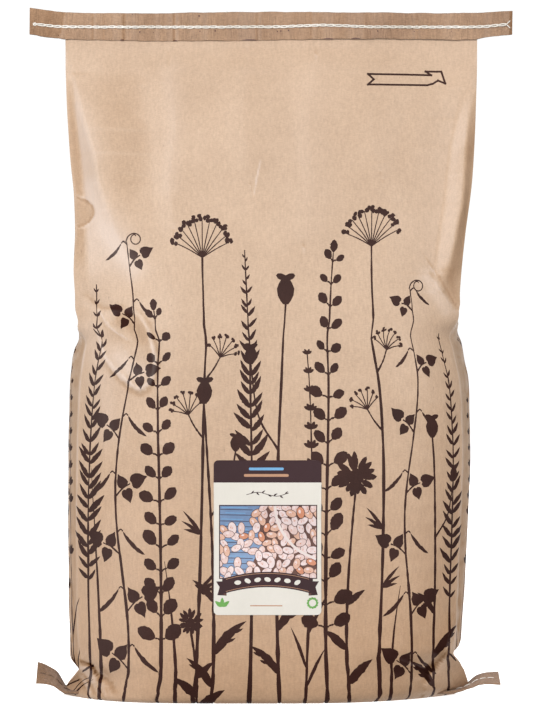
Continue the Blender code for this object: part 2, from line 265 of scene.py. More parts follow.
# Creases of the front: points as X and height, width on the left of the line and on its right,
# height out of the face, how sharp, and the tone of its line: paler as wear above 0, painted shade below 0
FRONT_CREASES = (
    (((136, 347), (142, 338), (147, 329), (151, 322)), 10.0, 4.0, -2.4, 0.6, -0.4),
    (((133, 343), (138, 334), (146, 323)), 2.5, 7.0, 0.8, 0.8, 0.0),
    (((-143, 302), (-134, 278), (-124, 266), (-116, 260)), 3.0, 6.0, 0.9, 1.0, 0.5),
    (((-141, 318), (-132, 305), (-119, 296)), 5.0, 2.2, 1.0, 1.0, 0.5),
    (((-150, 330), (-138, 321), (-124, 322)), 5.0, 5.0, -1.4, 0.5, 0.0),
    (((143.5, 39), (139.6, 31), (132, 26), (127.9, 23.7), (127, 17)), 2.6, 9.0, -2.8, 1.0, -0.8),
    (((128, 24), (121, 28), (112, 32)), 3.0, 6.0, 0.9, 1.0, 0.2),
    (((150, 70), (144, 54), (142, 40)), 4.0, 7.0, 1.7, 0.8, 0.1),
    (((-161, 34), (-157, 29), (-148, 27), (-144, 21.5), (-138, 17)), 8.0, 2.6, -2.8, 1.0, -0.7),
    (((-152, 21), (-146, 15), (-141, 7)), 2.2, 3.2, 1.5, 1.0, 0.2),
    (((-146, 21), (-140, 14), (-135, 6)), 1.8, 2.6, 1.2, 1.0, 0.2),
    (((-158, 19), (-152, 13), (-148, 4)), 2.4, 2.4, 1.2, 1.0, 0.1),
    (((-139, 19), (-132, 13), (-128, 7)), 2.6, 2.0, -0.9, 1.0, 0.0),
    (((-9, 441), (-11.5, 428), (-14, 414)), 1.6, 2.4, 0.45, 1.0, 0.5),
    (((-84, 515), (-80, 470), (-84, 425), (-80, 390)), 13.0, 9.0, 1.5, 0.3, 0.0),
    (((-20, 530), (-24, 480), (-18, 430)), 9.0, 12.0, 1.1, 0.2, 0.0),
    (((36, 520), (30, 470), (34, 420), (28, 380)), 14.0, 9.0, 1.3, 0.2, 0.0),
    (((86, 500), (82, 470), (88, 440)), 12.0, 9.0, 1.0, 0.2, 0.0),
    (((-112, 505), (-106, 470), (-110, 430)), 14.0, 14.0, -1.5, 0.1, 0.0),
    (((112, 480), (106, 450), (110, 410)), 12.0, 12.0, -1.4, 0.1, 0.0),
    (((-118, 232), (-100, 218), (-78, 206)), 8.0, 8.0, 0.9, 0.3, 0.0),
    (((104, 300), (118, 276), (128, 246)), 9.0, 8.0, 1.4, 0.4, 0.0),
    (((-146, 290), (-138, 252), (-134, 214), (-136, 176)), 8.0, 8.0, 1.2, 0.3, 0.0),
    (((60, 60), (66, 44), (62, 26)), 10.0, 10.0, 0.8, 0.2, 0.0),
)

# A looped fold at the left of the waist, raised most at its lower right, as X and height
WAIST_LOOP = (
    (-147.7, 299.4), (-139.6, 286.3), (-123.3, 267.6), (-111.1, 257.0), (-104.1, 255.4),
    (-97.2, 262.7), (-94.0, 275.7), (-97.2, 292.8), (-102.1, 306.6), (-110.3, 316.4),
    (-122.0, 322.0), (-136.0, 318.0), (-146.0, 310.0),
)

# Painted highlights (tone above 0) and painted shade (tone below 0) of broad areas and crease lines of the
# front: points as X and height, half width, tone
FRONT_PAINTED_LIGHT = (
    (((-149, 420), (-138, 390), (-126, 370), (-112, 352)), 8.0, 0.55),
    (((-128, 505), (-124, 460), (-126, 415)), 22.0, -0.20),
    (((-125, 281), (-114, 270), (-104, 267)), 8.0, 0.60),
    (((-122, 312), (-110, 306), (-103, 296)), 7.0, -0.50),
    (((143, 349), (148, 338), (152, 327)), 5.0, -0.70),
    (((126, 346), (133, 333), (142, 318)), 6.0, 0.45),
    (((-84, 520), (-80, 470), (-84, 420)), 9.0, 0.16),
    (((30, 500), (26, 440), (30, 390)), 24.0, 0.08),
    (((-148, 300), (-138, 262), (-134, 220)), 14.0, 0.30),
    (((152, 330), (148, 270), (146, 200), (142, 120), (138, 60)), 26.0, -0.17),
    (((-126, 130), (-124, 40)), 24.0, 0.16),
    (((161, 452), (157.5, 406), (149, 351)), 5.0, -0.45),
    (((-60, 14), (0, 10), (90, 14)), 44.0, -0.26),
    (((60, 90), (100, 60)), 46.0, -0.12),
    (((135, 26.2), (131.8, 23.8), (128.5, 21.4), (128, 15.7)), 0.9, -2.4),
    (((144, 34), (140, 30), (136, 27)), 1.0, 0.7),
    (((141, 36), (136, 30), (131, 27)), 3.4, -0.7),
    (((146, 66), (141, 52), (139, 42)), 4.5, -0.5),
    (((152, 64), (147, 50), (145, 40)), 3.0, 0.4),
    (((118, 29), (124, 25), (128, 22)), 0.8, -0.9),
    (((-161, 31), (-156, 31.2), (-149, 27.2), (-144, 21), (-140.5, 15)), 1.0, -2.2),
    (((-159, 27), (-151, 22.5), (-146, 16)), 2.6, 0.75),
    (((-158, 17), (-152, 12), (-149, 6)), 2.0, 0.5),
    (((-163, 24), (-158, 18), (-157, 10)), 2.4, -0.5),
    (((-138, 26), (-133, 20), (-130, 12)), 3.5, -0.5),
)


def across_fold(inward, h, table):
    """Height out of the face of a long fold, at a distance in from the edge and a height."""
    rows = np.array(table, float)
    at = [np.interp(h, rows[:, 0], rows[:, k]) for k in range(1, 6)]
    first, second, end = at[0], at[2], at[4]
    ease = lambda u, a, b: np.clip((u - a) / np.maximum(b - a, 0.1), 0, 1)
    out = at[1] * ease(inward, 0, first) + (at[3] - at[1]) * ease(inward, first, second)
    tail = ease(inward, second, end)
    out -= at[3] * tail * tail * (3 - 2 * tail)
    return np.where((h > rows[0, 0]) & (h < rows[-1, 0]), out, 0.0)


def fold_painted_light(inward, h, table, shade, pale):
    """Painted light of a long fold: painted shade at the edge, by the shade amount, and a painted highlight
    on the facet beside it, by the pale amount."""
    rows = np.array(table, float)
    at = [np.interp(h, rows[:, 0], rows[:, k]) for k in range(1, 6)]
    first, second = at[0], at[2]
    lift = np.clip((np.abs(at[1]) + np.abs(at[3])) / 5.0, 0, 1)
    edge = 1 - step_up(inward, first - 3.0, first + 1.5)
    facet = step_up(inward, first - 0.5, first + 4.5)
    beyond = step_up(inward, second - 2.0, second + 1.6)
    facet *= 0.80 - 0.48 * beyond - 0.32 * step_up(inward, second, second + 24.0)
    return np.where((h > rows[0, 0]) & (h < rows[-1, 0]), (facet * pale - edge * shade) * lift, 0.0)


def surface():
    """The sack's paper as arrays of points over S and H, in millimetres."""
    s = np.arange(-WHOLE, WHOLE + 0.1, S_STEP)
    h = np.arange(0, MOUTH_TOP + 0.1, 1.0)
    paper = np.arange(0, TURN + 0.1, S_STEP)
    right = [quarter(v, True, paper) for v in h]
    left = [quarter(v, False, paper) for v in h]
    back = np.abs(s) > TURN
    index = np.rint(np.where(back, WHOLE - np.abs(s), np.abs(s)) / S_STEP).astype(int)
    to_right = s >= 0
    rx, ry = np.array([q[0] for q in right]), np.array([q[1] for q in right])
    lx, ly = np.array([q[0] for q in left]), np.array([q[1] for q in left])
    x = np.where(to_right, rx[:, index], -lx[:, index])
    y = np.where(to_right, ry[:, index], ly[:, index]) * np.where(back, 1, -1)
    ss, hh = np.meshgrid(s, h)
    points = np.stack([x, y, hh], axis=2)
    ds = np.gradient(points, S_STEP, axis=1)
    dh = np.gradient(points, 1.0, axis=0)
    normal = np.cross(ds, dh)
    normal /= np.maximum(np.linalg.norm(normal, axis=2, keepdims=True), 1e-9)
    out = np.zeros(ss.shape)
    front = np.abs(ss) <= HALF
    on_left, on_right = front & (ss < 0), front & (ss > 0)
    from_fold, from_back_fold = np.abs(np.abs(ss) - HALF), np.abs(np.abs(ss) - WHOLE + HALF)
    fold_near = bell(from_fold, 3.0) + bell(from_back_fold, 3.0)
    wear_and_painted_light = np.zeros(ss.shape)
    for points_on, left_width, right_width, rise, sharp, rub_and_painted_light in FRONT_CREASES:
        far = 3.5 * max(left_width, right_width)
        box = (
            (x > min(q[0] for q in points_on) - far) & (x < max(q[0] for q in points_on) + far)
            & (hh > min(q[1] for q in points_on) - far) & (hh < max(q[1] for q in points_on) + far) & front
        )
        d, part, is_left = line_distance(x[box], hh[box], rounded(points_on))
        width = np.where(is_left, left_width, right_width)
        ends = np.sin(np.pi * np.clip(0.12 + 0.76 * part, 0, 1)) ** 0.6
        soft, tent = bell(d, width), np.exp(-1.5 * np.hypot(d, 0.4) / width)
        out[box] += rise * ends * (soft * (1 - sharp) + tent * sharp)
        # The crease's line gets the last column's tone: paler as wear above 0, painted shade below 0
        wear_and_painted_light[box] += rub_and_painted_light * ends * bell(d, 0.9)
    long_folds = np.where(on_left, across_fold(HALF + ss, hh, LEFT_FOLD), 0)
    long_folds = long_folds + np.where(on_right, across_fold(HALF - ss, hh, RIGHT_FOLD), 0)
    # Paper is too stiff for a knife edge, so their ridges are eased over a few millimetres
    out += sum(np.roll(long_folds, k, axis=1) for k in range(-4, 5)) / 9
    # A half-moon dent at the left edge, deepest at its rim
    reach = 19.0 * np.sqrt(np.maximum(1 - ((hh - 400.0) / 12.5) ** 2, 0))
    into = np.where(on_left, HALF + ss, 1e9)
    moon = (1 - step_up(into, reach - 2.6, reach + 1.0)) * (reach > 0)
    share = np.clip(into / np.maximum(reach, 1), 0, 1)
    out -= moon * 1.4 * share**1.5
    # Painted highlights and painted shade of the front's broad areas and crease lines
    for points_on, half_width, tone in FRONT_PAINTED_LIGHT:
        d, _, _ = line_distance(x[:, ::2], hh[:, ::2], rounded(points_on, 3))
        d = np.repeat(d, 2, axis=1)[:, :x.shape[1]]
        wear_and_painted_light += np.where(front, tone * bell(d, half_width), 0)
    # Painted shade along the front's long fold edges and a painted highlight on the facet beside each, made
    # uneven
    uneven = 0.75 + 0.25 * lattice(ss, hh, 26, 31, 62)
    wear_and_painted_light += np.where(on_left, fold_painted_light(HALF + ss, hh, LEFT_FOLD, 0.55, 1.12) * uneven, 0) * (1 - moon)
    # Painted shade fills the half-moon dent, darkest at its rim
    wear_and_painted_light -= moon * (0.30 + 0.50 * share**2)
    wear_and_painted_light += np.where(on_right, fold_painted_light(HALF - ss, hh, RIGHT_FOLD, 1.0, 0.42) * uneven, 0)
    loop = [tuple(q) for q in rounded(WAIST_LOOP + WAIST_LOOP[:1], 5)]
    box = (x > -160) & (x < -80) & (hh > 240) & (hh < 335) & front
    d, _, _ = line_distance(x[box], hh[box], loop)
    within_it = inside(np.stack([x[box], hh[box]], axis=1), loop)
    off_x, off_h = x[box] + 119, hh[box] - 287
    toward = (0.75 * off_x - 0.66 * off_h) / np.hypot(off_x, off_h).clip(1)
    raised = np.clip(0.45 + 0.75 * toward, 0, 1)
    out[box] += 2.8 * raised * np.where(within_it, np.exp(-d / 9.0), bell(d, 2.6))
    # The loop's rim is made paler, partly as wear and partly as a painted highlight along its crest
    wear_and_painted_light[box] += 0.9 * raised * bell(d, 1.2)
    # Soft dents and bumps over the whole of the paper, fewer where the beans hold it tight
    slack = 0.35 + 0.65 * step_up(hh, 230, 330)
    calm = 1 - step_up(hh, 515, FLAT_FROM)
    near_floor = step_up(hh, 0, 12)
    soft = 2.2 * lattice(ss, hh, 72, 190, 3) + 1.1 * lattice(ss, hh, 34, 110, 5)
    out += soft * slack * calm * (0.25 + 0.75 * near_floor)
    sharp = np.abs(lattice(ss, hh, 37, 61, 11)) + 0.45 * np.abs(lattice(ss, hh, 21, 37, 12))
    where = 0.2 + 0.8 * step_up(lattice(ss, hh, 120, 110, 21), 0.0, 0.6)
    out -= 0.8 * sharp * where * calm * near_floor
    edge = bell(from_fold, 22.0) + bell(from_back_fold, 22.0)
    out += 1.3 * edge * (np.abs(lattice(ss, hh, 24, 47, 31)) - 0.4) * calm * near_floor
    # Bumps of the beans behind the tight paper of the lower part
    out += 0.16 * lattice(ss, hh, 11, 10, 41) * step_up(hh, 6, 30) * (1 - step_up(hh, 270, 320))
    # A few crossing folds of each gusset where it turns from pushed out to folded in
    in_gusset = 1 - np.abs(np.abs(ss) - TURN) / LEAF
    gusset = step_up(in_gusset, 0.02, 0.25)
    waist = bell(hh - 306, 22) + bell(hh - 30, 14)
    out += gusset * waist * 2.4 * (0.35 - np.abs(lattice(ss, hh, 26, 17, 51)))
    out -= 0.5 * gusset * calm * np.abs(lattice(ss, hh, 30, 60, 52)) * near_floor
    # Painted shade darkens the gussets below the waist
    wear_and_painted_light -= 0.26 * step_up(in_gusset, 0.0, 0.06) * (1 - step_up(hh, 285, 330))
    # The lap of the glued seam that runs up the back
    lap = step_up(ss, *LAP[:2]) * (1 - step_up(ss, *LAP[2:]))
    out += 0.35 * lap * calm * near_floor
    # A line of painted shadow at the lap's raised edge
    wear_and_painted_light -= 0.35 * bell(ss - LAP[0], 0.7)
    out *= 1 - 0.4 * np.clip(fold_near, 0, 1)
    # The pinch of the waist's outline stays clean
    out *= 1 - 0.75 * np.exp(-((from_fold / 13.0) ** 2) - ((hh - 303) / 15) ** 2)
    # Folded edges and the ridges of small folds are made paler, partly as wear and partly as painted
    # highlight; their valleys get painted shade
    bend = np.zeros(ss.shape)
    bend[2:-2, 2:-2] = out[2:-2, 2:-2] - (out[:-4, 2:-2] + out[4:, 2:-2] + out[2:-2, :-4] + out[2:-2, 4:]) / 4
    # The front folds stay as crisp lines below the waist
    below = step_up(hh, 34, 60) * (1 - step_up(hh, 285, 305))
    crisp = np.exp(-from_fold / 7.0) + np.exp(-from_back_fold / 7.0)
    out += 1.1 * crisp * below
    wear_and_painted_light += 0.3 * bell(from_fold, 0.8) * below
    patchy = step_up(np.abs(lattice(ss, hh, 4, 23, 61)), 0.1, 0.5)
    wear_and_painted_light += np.clip(bend * 4.0, -0.4, 0.35) + 0.35 * np.clip(fold_near, 0, 1) ** 4 * patchy
    keep = np.where(hh > FLAT_FROM, 0.0, 1.0)
    points = points + normal * (out * keep)[:, :, None]
    points[:, :, 2] = np.maximum(points[:, :, 2], 0.0)
    points[0, :, 2] = 0.0
    points[:, -1] = points[:, 0]
    wear_and_painted_light[:, -1] = wear_and_painted_light[:, 0]
    return s, h, points, np.clip(wear_and_painted_light, -3, 1)


S_AXIS, H_AXIS, PAPER, WEAR_AND_PAINTED_LIGHT = surface()


def place(s, h, lift=0.0):
    """Points of the paper at S and H, lifted off it, in millimetres."""
    s, h = np.asarray(s, float), np.asarray(h, float)
    a = np.clip((s + WHOLE) / S_STEP, 0, len(S_AXIS) - 1.001)
    b = np.clip(h, 0, len(H_AXIS) - 1.001)
    i, j = np.floor(a + 1e-9).astype(int), np.floor(b + 1e-9).astype(int)
    i, j = np.minimum(i, len(S_AXIS) - 2), np.minimum(j, len(H_AXIS) - 2)
    u, v = (a - i)[:, None], (b - j)[:, None]
    p00, p10, p01, p11 = PAPER[j, i], PAPER[j, i + 1], PAPER[j + 1, i], PAPER[j + 1, i + 1]
    p = (p00 * (1 - u) + p10 * u) * (1 - v) + (p01 * (1 - u) + p11 * u) * v
    if lift:
        n = np.cross(p10 - p00, p01 - p00)
        p = p + lift * n / np.maximum(np.linalg.norm(n, axis=1, keepdims=True), 1e-9)
    return p


def wear_and_painted_light_at(s, h):
    """How much paler (above 0: wear and painted highlight) or darker (below 0: painted shade) the paper is at
    S and H.
    """
    i = np.clip(np.rint((np.asarray(s) + WHOLE) / S_STEP).astype(int), 0, len(S_AXIS) - 1)
    j = np.clip(np.rint(np.asarray(h)).astype(int), 0, len(H_AXIS) - 1)
    return WEAR_AND_PAINTED_LIGHT[j, i]


def straight_down(shape):
    """The outline moved along the paper so that it keeps its X near the foot, as the print does."""
    middle = np.abs(S_AXIS) <= HALF
    level = PAPER[60, middle, 0]
    made = []
    for s, h in shape:
        if h < 60 and abs(s) < HALF:
            row = PAPER[int(round(min(max(h, 0), 60))), middle, 0]
            wanted = np.interp(s, S_AXIS[middle], level)
            s = s + 0.9 * (np.interp(wanted, row, S_AXIS[middle]) - s)
        made.append((float(s), h))
    return made


def base_point(s, h):
    """Points of the base panel, from the foot of the sack (h 0) in to the seam (h -BASE_RUN)."""
    foot = place(s, np.zeros(len(s)))
    t = np.clip(-h / BASE_RUN, 0, 1)[:, None]
    seam = np.stack([foot[:, 0] * 0.985, np.where(foot[:, 1] < 0, -0.5, 0.5), np.zeros(len(s))], axis=1)
    p = foot * (1 - t) + seam * t
    y = p[:, 1]
    under = step_up(y, -29, -24.4) * (y < 0) * 7.0
    under = np.where(y > -2.0, np.interp(y, (-2.0, 0.0, 6.0), (7.0, 4.2, 0.0)), under)
    p[:, 2] = np.where(h < 0, np.minimum(under, 7.0), foot[:, 2])
    wide = np.abs(foot[:, 1]) < 3
    p[:, 2] = np.where(wide & (h < 0), 0.4, p[:, 2])
    return p


def mesh_of(name, points, faces, slots, materials, smooth=38, rub_and_painted_light=None):
    """A mesh from points in millimetres, with a material slot for each face."""
    data = bpy.data.meshes.new(name)
    data.from_pydata([tuple(p) for p in np.asarray(points) / 1000], [], faces)
    # The wear attribute holds real wear and also painted shade and painted highlights
    wear_and_painted_light = data.attributes.new("wear_and_painted_light", "FLOAT", "POINT")
    if rub_and_painted_light is not None:
        wear_and_painted_light.data.foreach_set("value", np.asarray(rub_and_painted_light, np.float32))
    for material in materials:
        data.materials.append(material)
    if slots is not None:
        data.polygons.foreach_set("material_index", np.asarray(slots, np.int32))
    data.validate()
    made = bpy.data.objects.new(name, data)
    bpy.context.scene.collection.objects.link(made)
    work = bmesh.new()
    work.from_mesh(data)
    bmesh.ops.remove_doubles(work, verts=work.verts, dist=2e-6)
    bmesh.ops.recalc_face_normals(work, faces=work.faces)
    work.to_mesh(data)
    work.free()
    data.shade_smooth()
    if smooth:
        data.set_sharp_from_angle(angle=math.radians(smooth))
    return made


# Shapes of the print, each a closed outline in S and H
RNG = np.random.default_rng(7)
STEM_START = -24.0


def ribbon(points, start, end, rough=0.25):
    """The outline of a stem along a line, tapering from one width to another."""
    line = np.array(rounded(points, 7))
    gap = np.gradient(line, axis=0)
    side = np.stack([-gap[:, 1], gap[:, 0]], axis=1) / np.linalg.norm(gap, axis=1)[:, None]
    t = np.linspace(0, 1, len(line))
    wide = (start + (end - start) * t) / 2 * (1 + rough * RNG.uniform(-1, 1, len(line)))
    left, right = line + side * wide[:, None], line - side * wide[:, None]
    return [tuple(p) for p in np.concatenate([left, right[::-1]])]


def leaf(root, angle, length, width, bend=0.0, blunt=0.0, rough=0.14):
    """A leaf outline from its root, angle in degrees from upright, bend in degrees."""
    count = 9 if length < 16 else 13
    t = np.linspace(0, 1, count)
    turn = np.radians(angle) + np.radians(bend) * t
    step = length / (count - 1)
    mid_x = root[0] + np.concatenate([[0], np.cumsum(np.sin(turn[:-1]) * step)])
    mid_z = root[1] + np.concatenate([[0], np.cumsum(np.cos(turn[:-1]) * step)])
    shape = np.sin(np.pi * t ** (0.72 + 0.5 * blunt)) ** (0.85 - 0.35 * blunt)
    outline = []
    for side in (-1, 1):
        half = width / 2 * shape * (1 + rough * RNG.uniform(-1, 1, count))
        rows = zip(mid_x, mid_z, turn, half)
        line = [(x + side * np.cos(a) * w, z - side * np.sin(a) * w) for x, z, a, w in rows]
        outline += line if side < 0 else line[::-1][1:-1]
    return outline


def blob(centre, radius, count=11, rough=0.15, tall=1.0, turn=0.0):
    """A rough disc."""
    a = np.linspace(0, 2 * np.pi, count, endpoint=False)
    r = radius * (1 + rough * RNG.uniform(-1, 1, count))
    x, z = r * np.cos(a), r * tall * np.sin(a)
    c, k = math.cos(math.radians(turn)), math.sin(math.radians(turn))
    return [(centre[0] + p * c + q * k, centre[1] - p * k + q * c) for p, q in zip(x, z)]


def stem_line(x, top, lean, sway, waves=3.1, count=7):
    """A stem's own line, from under the foot of the sack to its top."""
    t = np.linspace(0, 1, count)
    return [(x + lean * q + sway * math.sin(q * waves), STEM_START + (top - STEM_START) * q) for q in t]


def away_from(root, degrees, reach):
    """The point at a direction, in degrees from upright, and a distance from another."""
    a = math.radians(degrees)
    return (root[0] + math.sin(a) * reach, root[1] + math.cos(a) * reach)


def stalk(root, tip, rise, start, end, rough=0.25, aside=0.0):
    """A short stem that bows a little."""
    middle = ((root[0] + tip[0]) / 2 + aside, (root[1] + tip[1]) / 2 + rise)
    return ribbon([root, middle, tip], start, end, rough)


def at_line(line, share):
    """A point of a line and its angle from upright in degrees."""
    line = np.array(rounded(line, 7))
    run = np.concatenate([[0], np.cumsum(np.linalg.norm(np.diff(line, axis=0), axis=1))])
    d = share * run[-1]
    x, z = np.interp(d, run, line[:, 0]), np.interp(d, run, line[:, 1])
    x2, z2 = np.interp(d + 3, run, line[:, 0]), np.interp(d + 3, run, line[:, 1])
    x1, z1 = np.interp(d - 3, run, line[:, 0]), np.interp(d - 3, run, line[:, 1])
    return (x, z), math.degrees(math.atan2(x2 - x1, z2 - z1))


def fern(x, top, lean=0.0, sway=5.0, size=30.0, thick=3.4):
    """A frond with pairs of leaflets that shorten toward its tip."""
    line = stem_line(x, top, lean, sway)
    made = [ribbon(line, thick, 0.9)]
    count = max(8, int(top / 13))
    for i in range(count):
        share = 0.34 + 0.64 * i / (count - 1)
        root, angle = at_line(line, share)
        long = size * (1 - ((share - 0.34) / 0.66) ** 1.7) * (0.55 + 0.45 * min(1, i / 3)) + 3
        for side in (-1, 1):
            grow = long * RNG.uniform(0.82, 1.14)
            root, _ = at_line(line, min(share + RNG.uniform(-0.006, 0.006), 1))
            tilt = angle + side * (64 - 24 * share + RNG.uniform(-6, 6))
            made.append(leaf(root, tilt, grow, grow * 0.22 + 0.6, -side * RNG.uniform(8, 26)))
    return made


def round_sprig(x, top, lean=0.0, sway=6.0, size=13.0, thick=3.6):
    """A stem with pairs of round leaves."""
    line = stem_line(x, top, lean, sway)
    made = [ribbon(line, thick, 1.2)]
    count = max(5, int(top / 21))
    for i in range(count):
        share = 0.22 + 0.76 * i / (count - 1)
        root, angle = at_line(line, share)
        r = size * (1.05 - 0.55 * share)
        for side in (-1, 1):
            tilt = angle + side * (52 + 16 * RNG.uniform(-1, 1))
            reach, grow = r * RNG.uniform(0.35, 0.75), r * RNG.uniform(1.25, 1.7)
            tip = away_from(root, tilt, reach)
            made.append(stalk(root, tip, 0.8, 1.3, 1.5))
            wide, bend = grow * RNG.uniform(0.60, 0.74), -side * RNG.uniform(0, 18)
            made.append(leaf(tip, tilt, grow, wide, bend, 0.75, 0.09))
    root, angle = at_line(line, 1.0)
    made.append(leaf(root, angle, size * 0.9, size * 0.55, 0, 0.6))
    return made


def umbel(x, top, lean=0.0, sway=5.0, size=26.0, thick=3.2):
    """A flat-topped flower of fine rays, each with its own small tuft."""
    line = stem_line(x, top - size * 0.7, lean, sway)
    made = [ribbon(line, thick, 1.6)]
    heads = [(1.0, 0.0, size)]
    for share, side in ((0.62, -1), (0.74, 1)):
        heads.append((share, side * 34, size * 0.55))
    for share, off, reach in heads:
        root, angle = at_line(line, share)
        if off:
            tip = away_from(root, angle + off, reach * 1.3)
            made.append(stalk(root, tip, 0, 1.7, 1.1, aside=off * 0.03))
            root, angle = tip, angle + off * 0.5
        rays = 11 if reach > 20 else 7
        for k in range(rays):
            spread = -62 + 124 * k / (rays - 1)
            ray = reach * (0.78 + 0.22 * math.cos(math.radians(spread * 1.2)))
            tip = away_from(root, angle + spread, ray)
            made.append(stalk(root, tip, 0.6, 1.1, 0.8, 0.1))
            near = reach * 0.085
            for _ in range(4):
                dot = (tip[0] + RNG.uniform(-1, 1) * near, tip[1] + RNG.uniform(-0.6, 1) * near)
                made.append(blob(dot, reach * 0.05 + 0.35, 7, 0.25))
    for share, side in ((0.30, 1), (0.42, -1)):
        root, angle = at_line(line, share)
        for spread in (34, 52, 70):
            made.append(leaf(root, angle + side * spread, size * 0.8 * (1.3 - spread / 100), 3.0, side * 14))
    return made


# Height and half width of a seed head, as shares of its size
POD_HALF = (
    (0, 0.16), (0.14, 0.34), (0.34, 0.5), (0.6, 0.56), (0.82, 0.42), (0.94, 0.3), (1.0, 0.5), (1.12, 0.62),
    (1.2, 0.5),
)


def pod_stem(x, top, lean=0.0, sway=6.0, size=12.0, thick=3.4):
    """A bare stem with a crowned seed head, and one smaller beside it."""
    line = stem_line(x, top - size * 1.6, lean, sway)
    made = [ribbon(line, thick, 1.7)]
    root, angle = at_line(line, 1.0)
    side_root, _ = at_line(line, 0.66)
    bend = -1 if lean > 0 else 1
    side_tip = (side_root[0] + bend * size * 1.7, side_root[1] + top * 0.20)
    side_middle = (side_root[0] + bend * size * 1.2, side_root[1] + top * 0.08)
    made.append(ribbon([side_root, side_middle, side_tip], 1.9, 1.3))
    for (px, pz), r in ((root, size), (side_tip, size * 0.68)):
        body = [(w * r, t * r * 1.5) for t, w in POD_HALF]
        right = [(px + a, pz + b) for a, b in body]
        left = [(px - a, pz + b) for a, b in body[::-1]]
        crown = [(px + r * q * 0.25, pz + r * 1.5 * (1.13 + (0.07 if q % 2 else 0))) for q in (1, 0, -1)]
        made.append(right + crown + left)
    for share, side, long in ((0.14, -1, 34), (0.24, 1, 40), (0.40, -1, 26)):
        root, angle = at_line(line, share)
        made.append(leaf(root, angle + side * 28, long, long * 0.2, side * 34))
        for q in (0.35, 0.6):
            tooth = away_from(root, angle + side * 38, long * q)
            made.append(leaf(tooth, angle + side * 78, long * 0.26, 3.0, -side * 20))
    return made


def daisy(x, top, lean=0.0, sway=6.0, size=17.0, thick=3.6):
    """A flower seen from the side of its face, with long petals."""
    line = stem_line(x, top - size, lean, sway)
    made = [ribbon(line, thick, 1.8)]
    (px, pz), angle = at_line(line, 1.0)
    centre = (px, pz + size * 0.35)
    made.append(blob(centre, size * 0.36, 13, 0.08))
    for k in range(15):
        a = 360 * k / 15 + RNG.uniform(-7, 7)
        root = away_from(centre, a, size * 0.25)
        long = size * (0.82 + 0.12 * RNG.uniform(-1, 1)) * (0.82 + 0.18 * math.cos(math.radians(a)))
        made.append(leaf(root, a, long, size * 0.27, RNG.uniform(-14, 14), 0.7))
    for share, side, long in ((0.20, 1, 30), (0.34, -1, 26), (0.52, 1, 20)):
        root, angle = at_line(line, share)
        made.append(leaf(root, angle + side * 40, long, long * 0.28, side * 22))
    return made


HEART = (
    (0, 0), (-0.16, -0.07), (-0.36, 0.0), (-0.47, 0.18), (-0.46, 0.40), (-0.34, 0.64), (-0.15, 0.86),
    (0, 1.08), (0.14, 0.85), (0.31, 0.63), (0.44, 0.40), (0.45, 0.17), (0.34, 0.0), (0.15, -0.06),
)


def heart(root, angle, size):
    """A pointed, heart-shaped leaflet."""
    made = []
    c, k = math.cos(math.radians(angle)), math.sin(math.radians(angle))
    for u, v in HEART:
        u, v = (u + RNG.uniform(-0.025, 0.025)) * size, (v + RNG.uniform(-0.025, 0.025)) * size
        made.append((root[0] + u * c + v * k, root[1] - u * k + v * c))
    return made


def bean_vine(x, top, lean=0.0, sway=9.0, size=17.0, thick=3.0):
    """A climbing stem with leaves in threes, hanging pods and curled tendrils."""
    line = stem_line(x, top, lean, sway, 9.4, 13)
    made = [ribbon(line, thick, 1.0)]
    count = max(4, int(top / 44))
    for i in range(count):
        side = 1 if i % 2 else -1
        share = 0.13 + 0.82 * i / (count - 1)
        root, angle = at_line(line, share)
        grow = size * (1.12 - 0.45 * share)
        tip = away_from(root, angle + side * 52, grow * 1.25)
        made.append(stalk(root, tip, 1.5, 1.5, 1.1))
        for spread, back, scale in ((-92, 0.42, 0.78), (6, 0.0, 1.0), (96, 0.42, 0.78)):
            tilt = angle + side * 62 + spread
            on = away_from(tip, angle + side * 52, -grow * back)
            made.append(heart(away_from(on, tilt, 1.6), tilt, grow * scale))
        pod_root, _ = at_line(line, share + 0.045)
        hang = (pod_root[0] - side * 5, pod_root[1] + 1)
        made.append(ribbon([pod_root, (pod_root[0] - side * 3, pod_root[1] + 2.5), hang], 1.2, 1.1))
        made.append(leaf(hang, 180 + side * 30, grow * 1.9, grow * 0.25, side * 34, 0.9, 0.22))
    root, angle = at_line(line, 1.0)
    curl = []
    for q in np.linspace(0, 1, 16):
        r = 6.5 * (1 - q) + 0.8
        curl.append((root[0] + 6.5 - r * math.cos(q * 9.5), root[1] + r * math.sin(q * 9.5) + 5 * q))
    made.append(ribbon(curl, 1.1, 0.9, 0.1))
    return made


def lavender(x, top, lean=0.0, sway=4.0, size=9.0, thick=2.6):
    """A thin stem with rings of small buds up its top."""
    line = stem_line(x, top, lean, sway)
    made = [ribbon(line, thick, 0.9)]
    for i in range(9):
        share = 0.60 + 0.39 * i / 8 if i else 0.50
        root, angle = at_line(line, share)
        r = size * (1.0 - 0.055 * i)
        for spread in (-58, -26, 26, 58):
            made.append(leaf(root, angle + spread, r, r * 0.42, 0, 0.8))
    for share, side in ((0.12, 1), (0.17, -1), (0.26, 1)):
        root, angle = at_line(line, share)
        made.append(leaf(root, angle + side * 20, 38, 3.0, side * 10))
    return made


def blade(x, top, lean=10.0, thick=4.5):
    """A blade of grass that leans over."""
    t = np.linspace(0, 1, 7)
    line = [(x + lean * q**2.2, STEM_START + (top - STEM_START) * q) for q in t]
    return [ribbon(line, thick, 0.5, 0.12)]


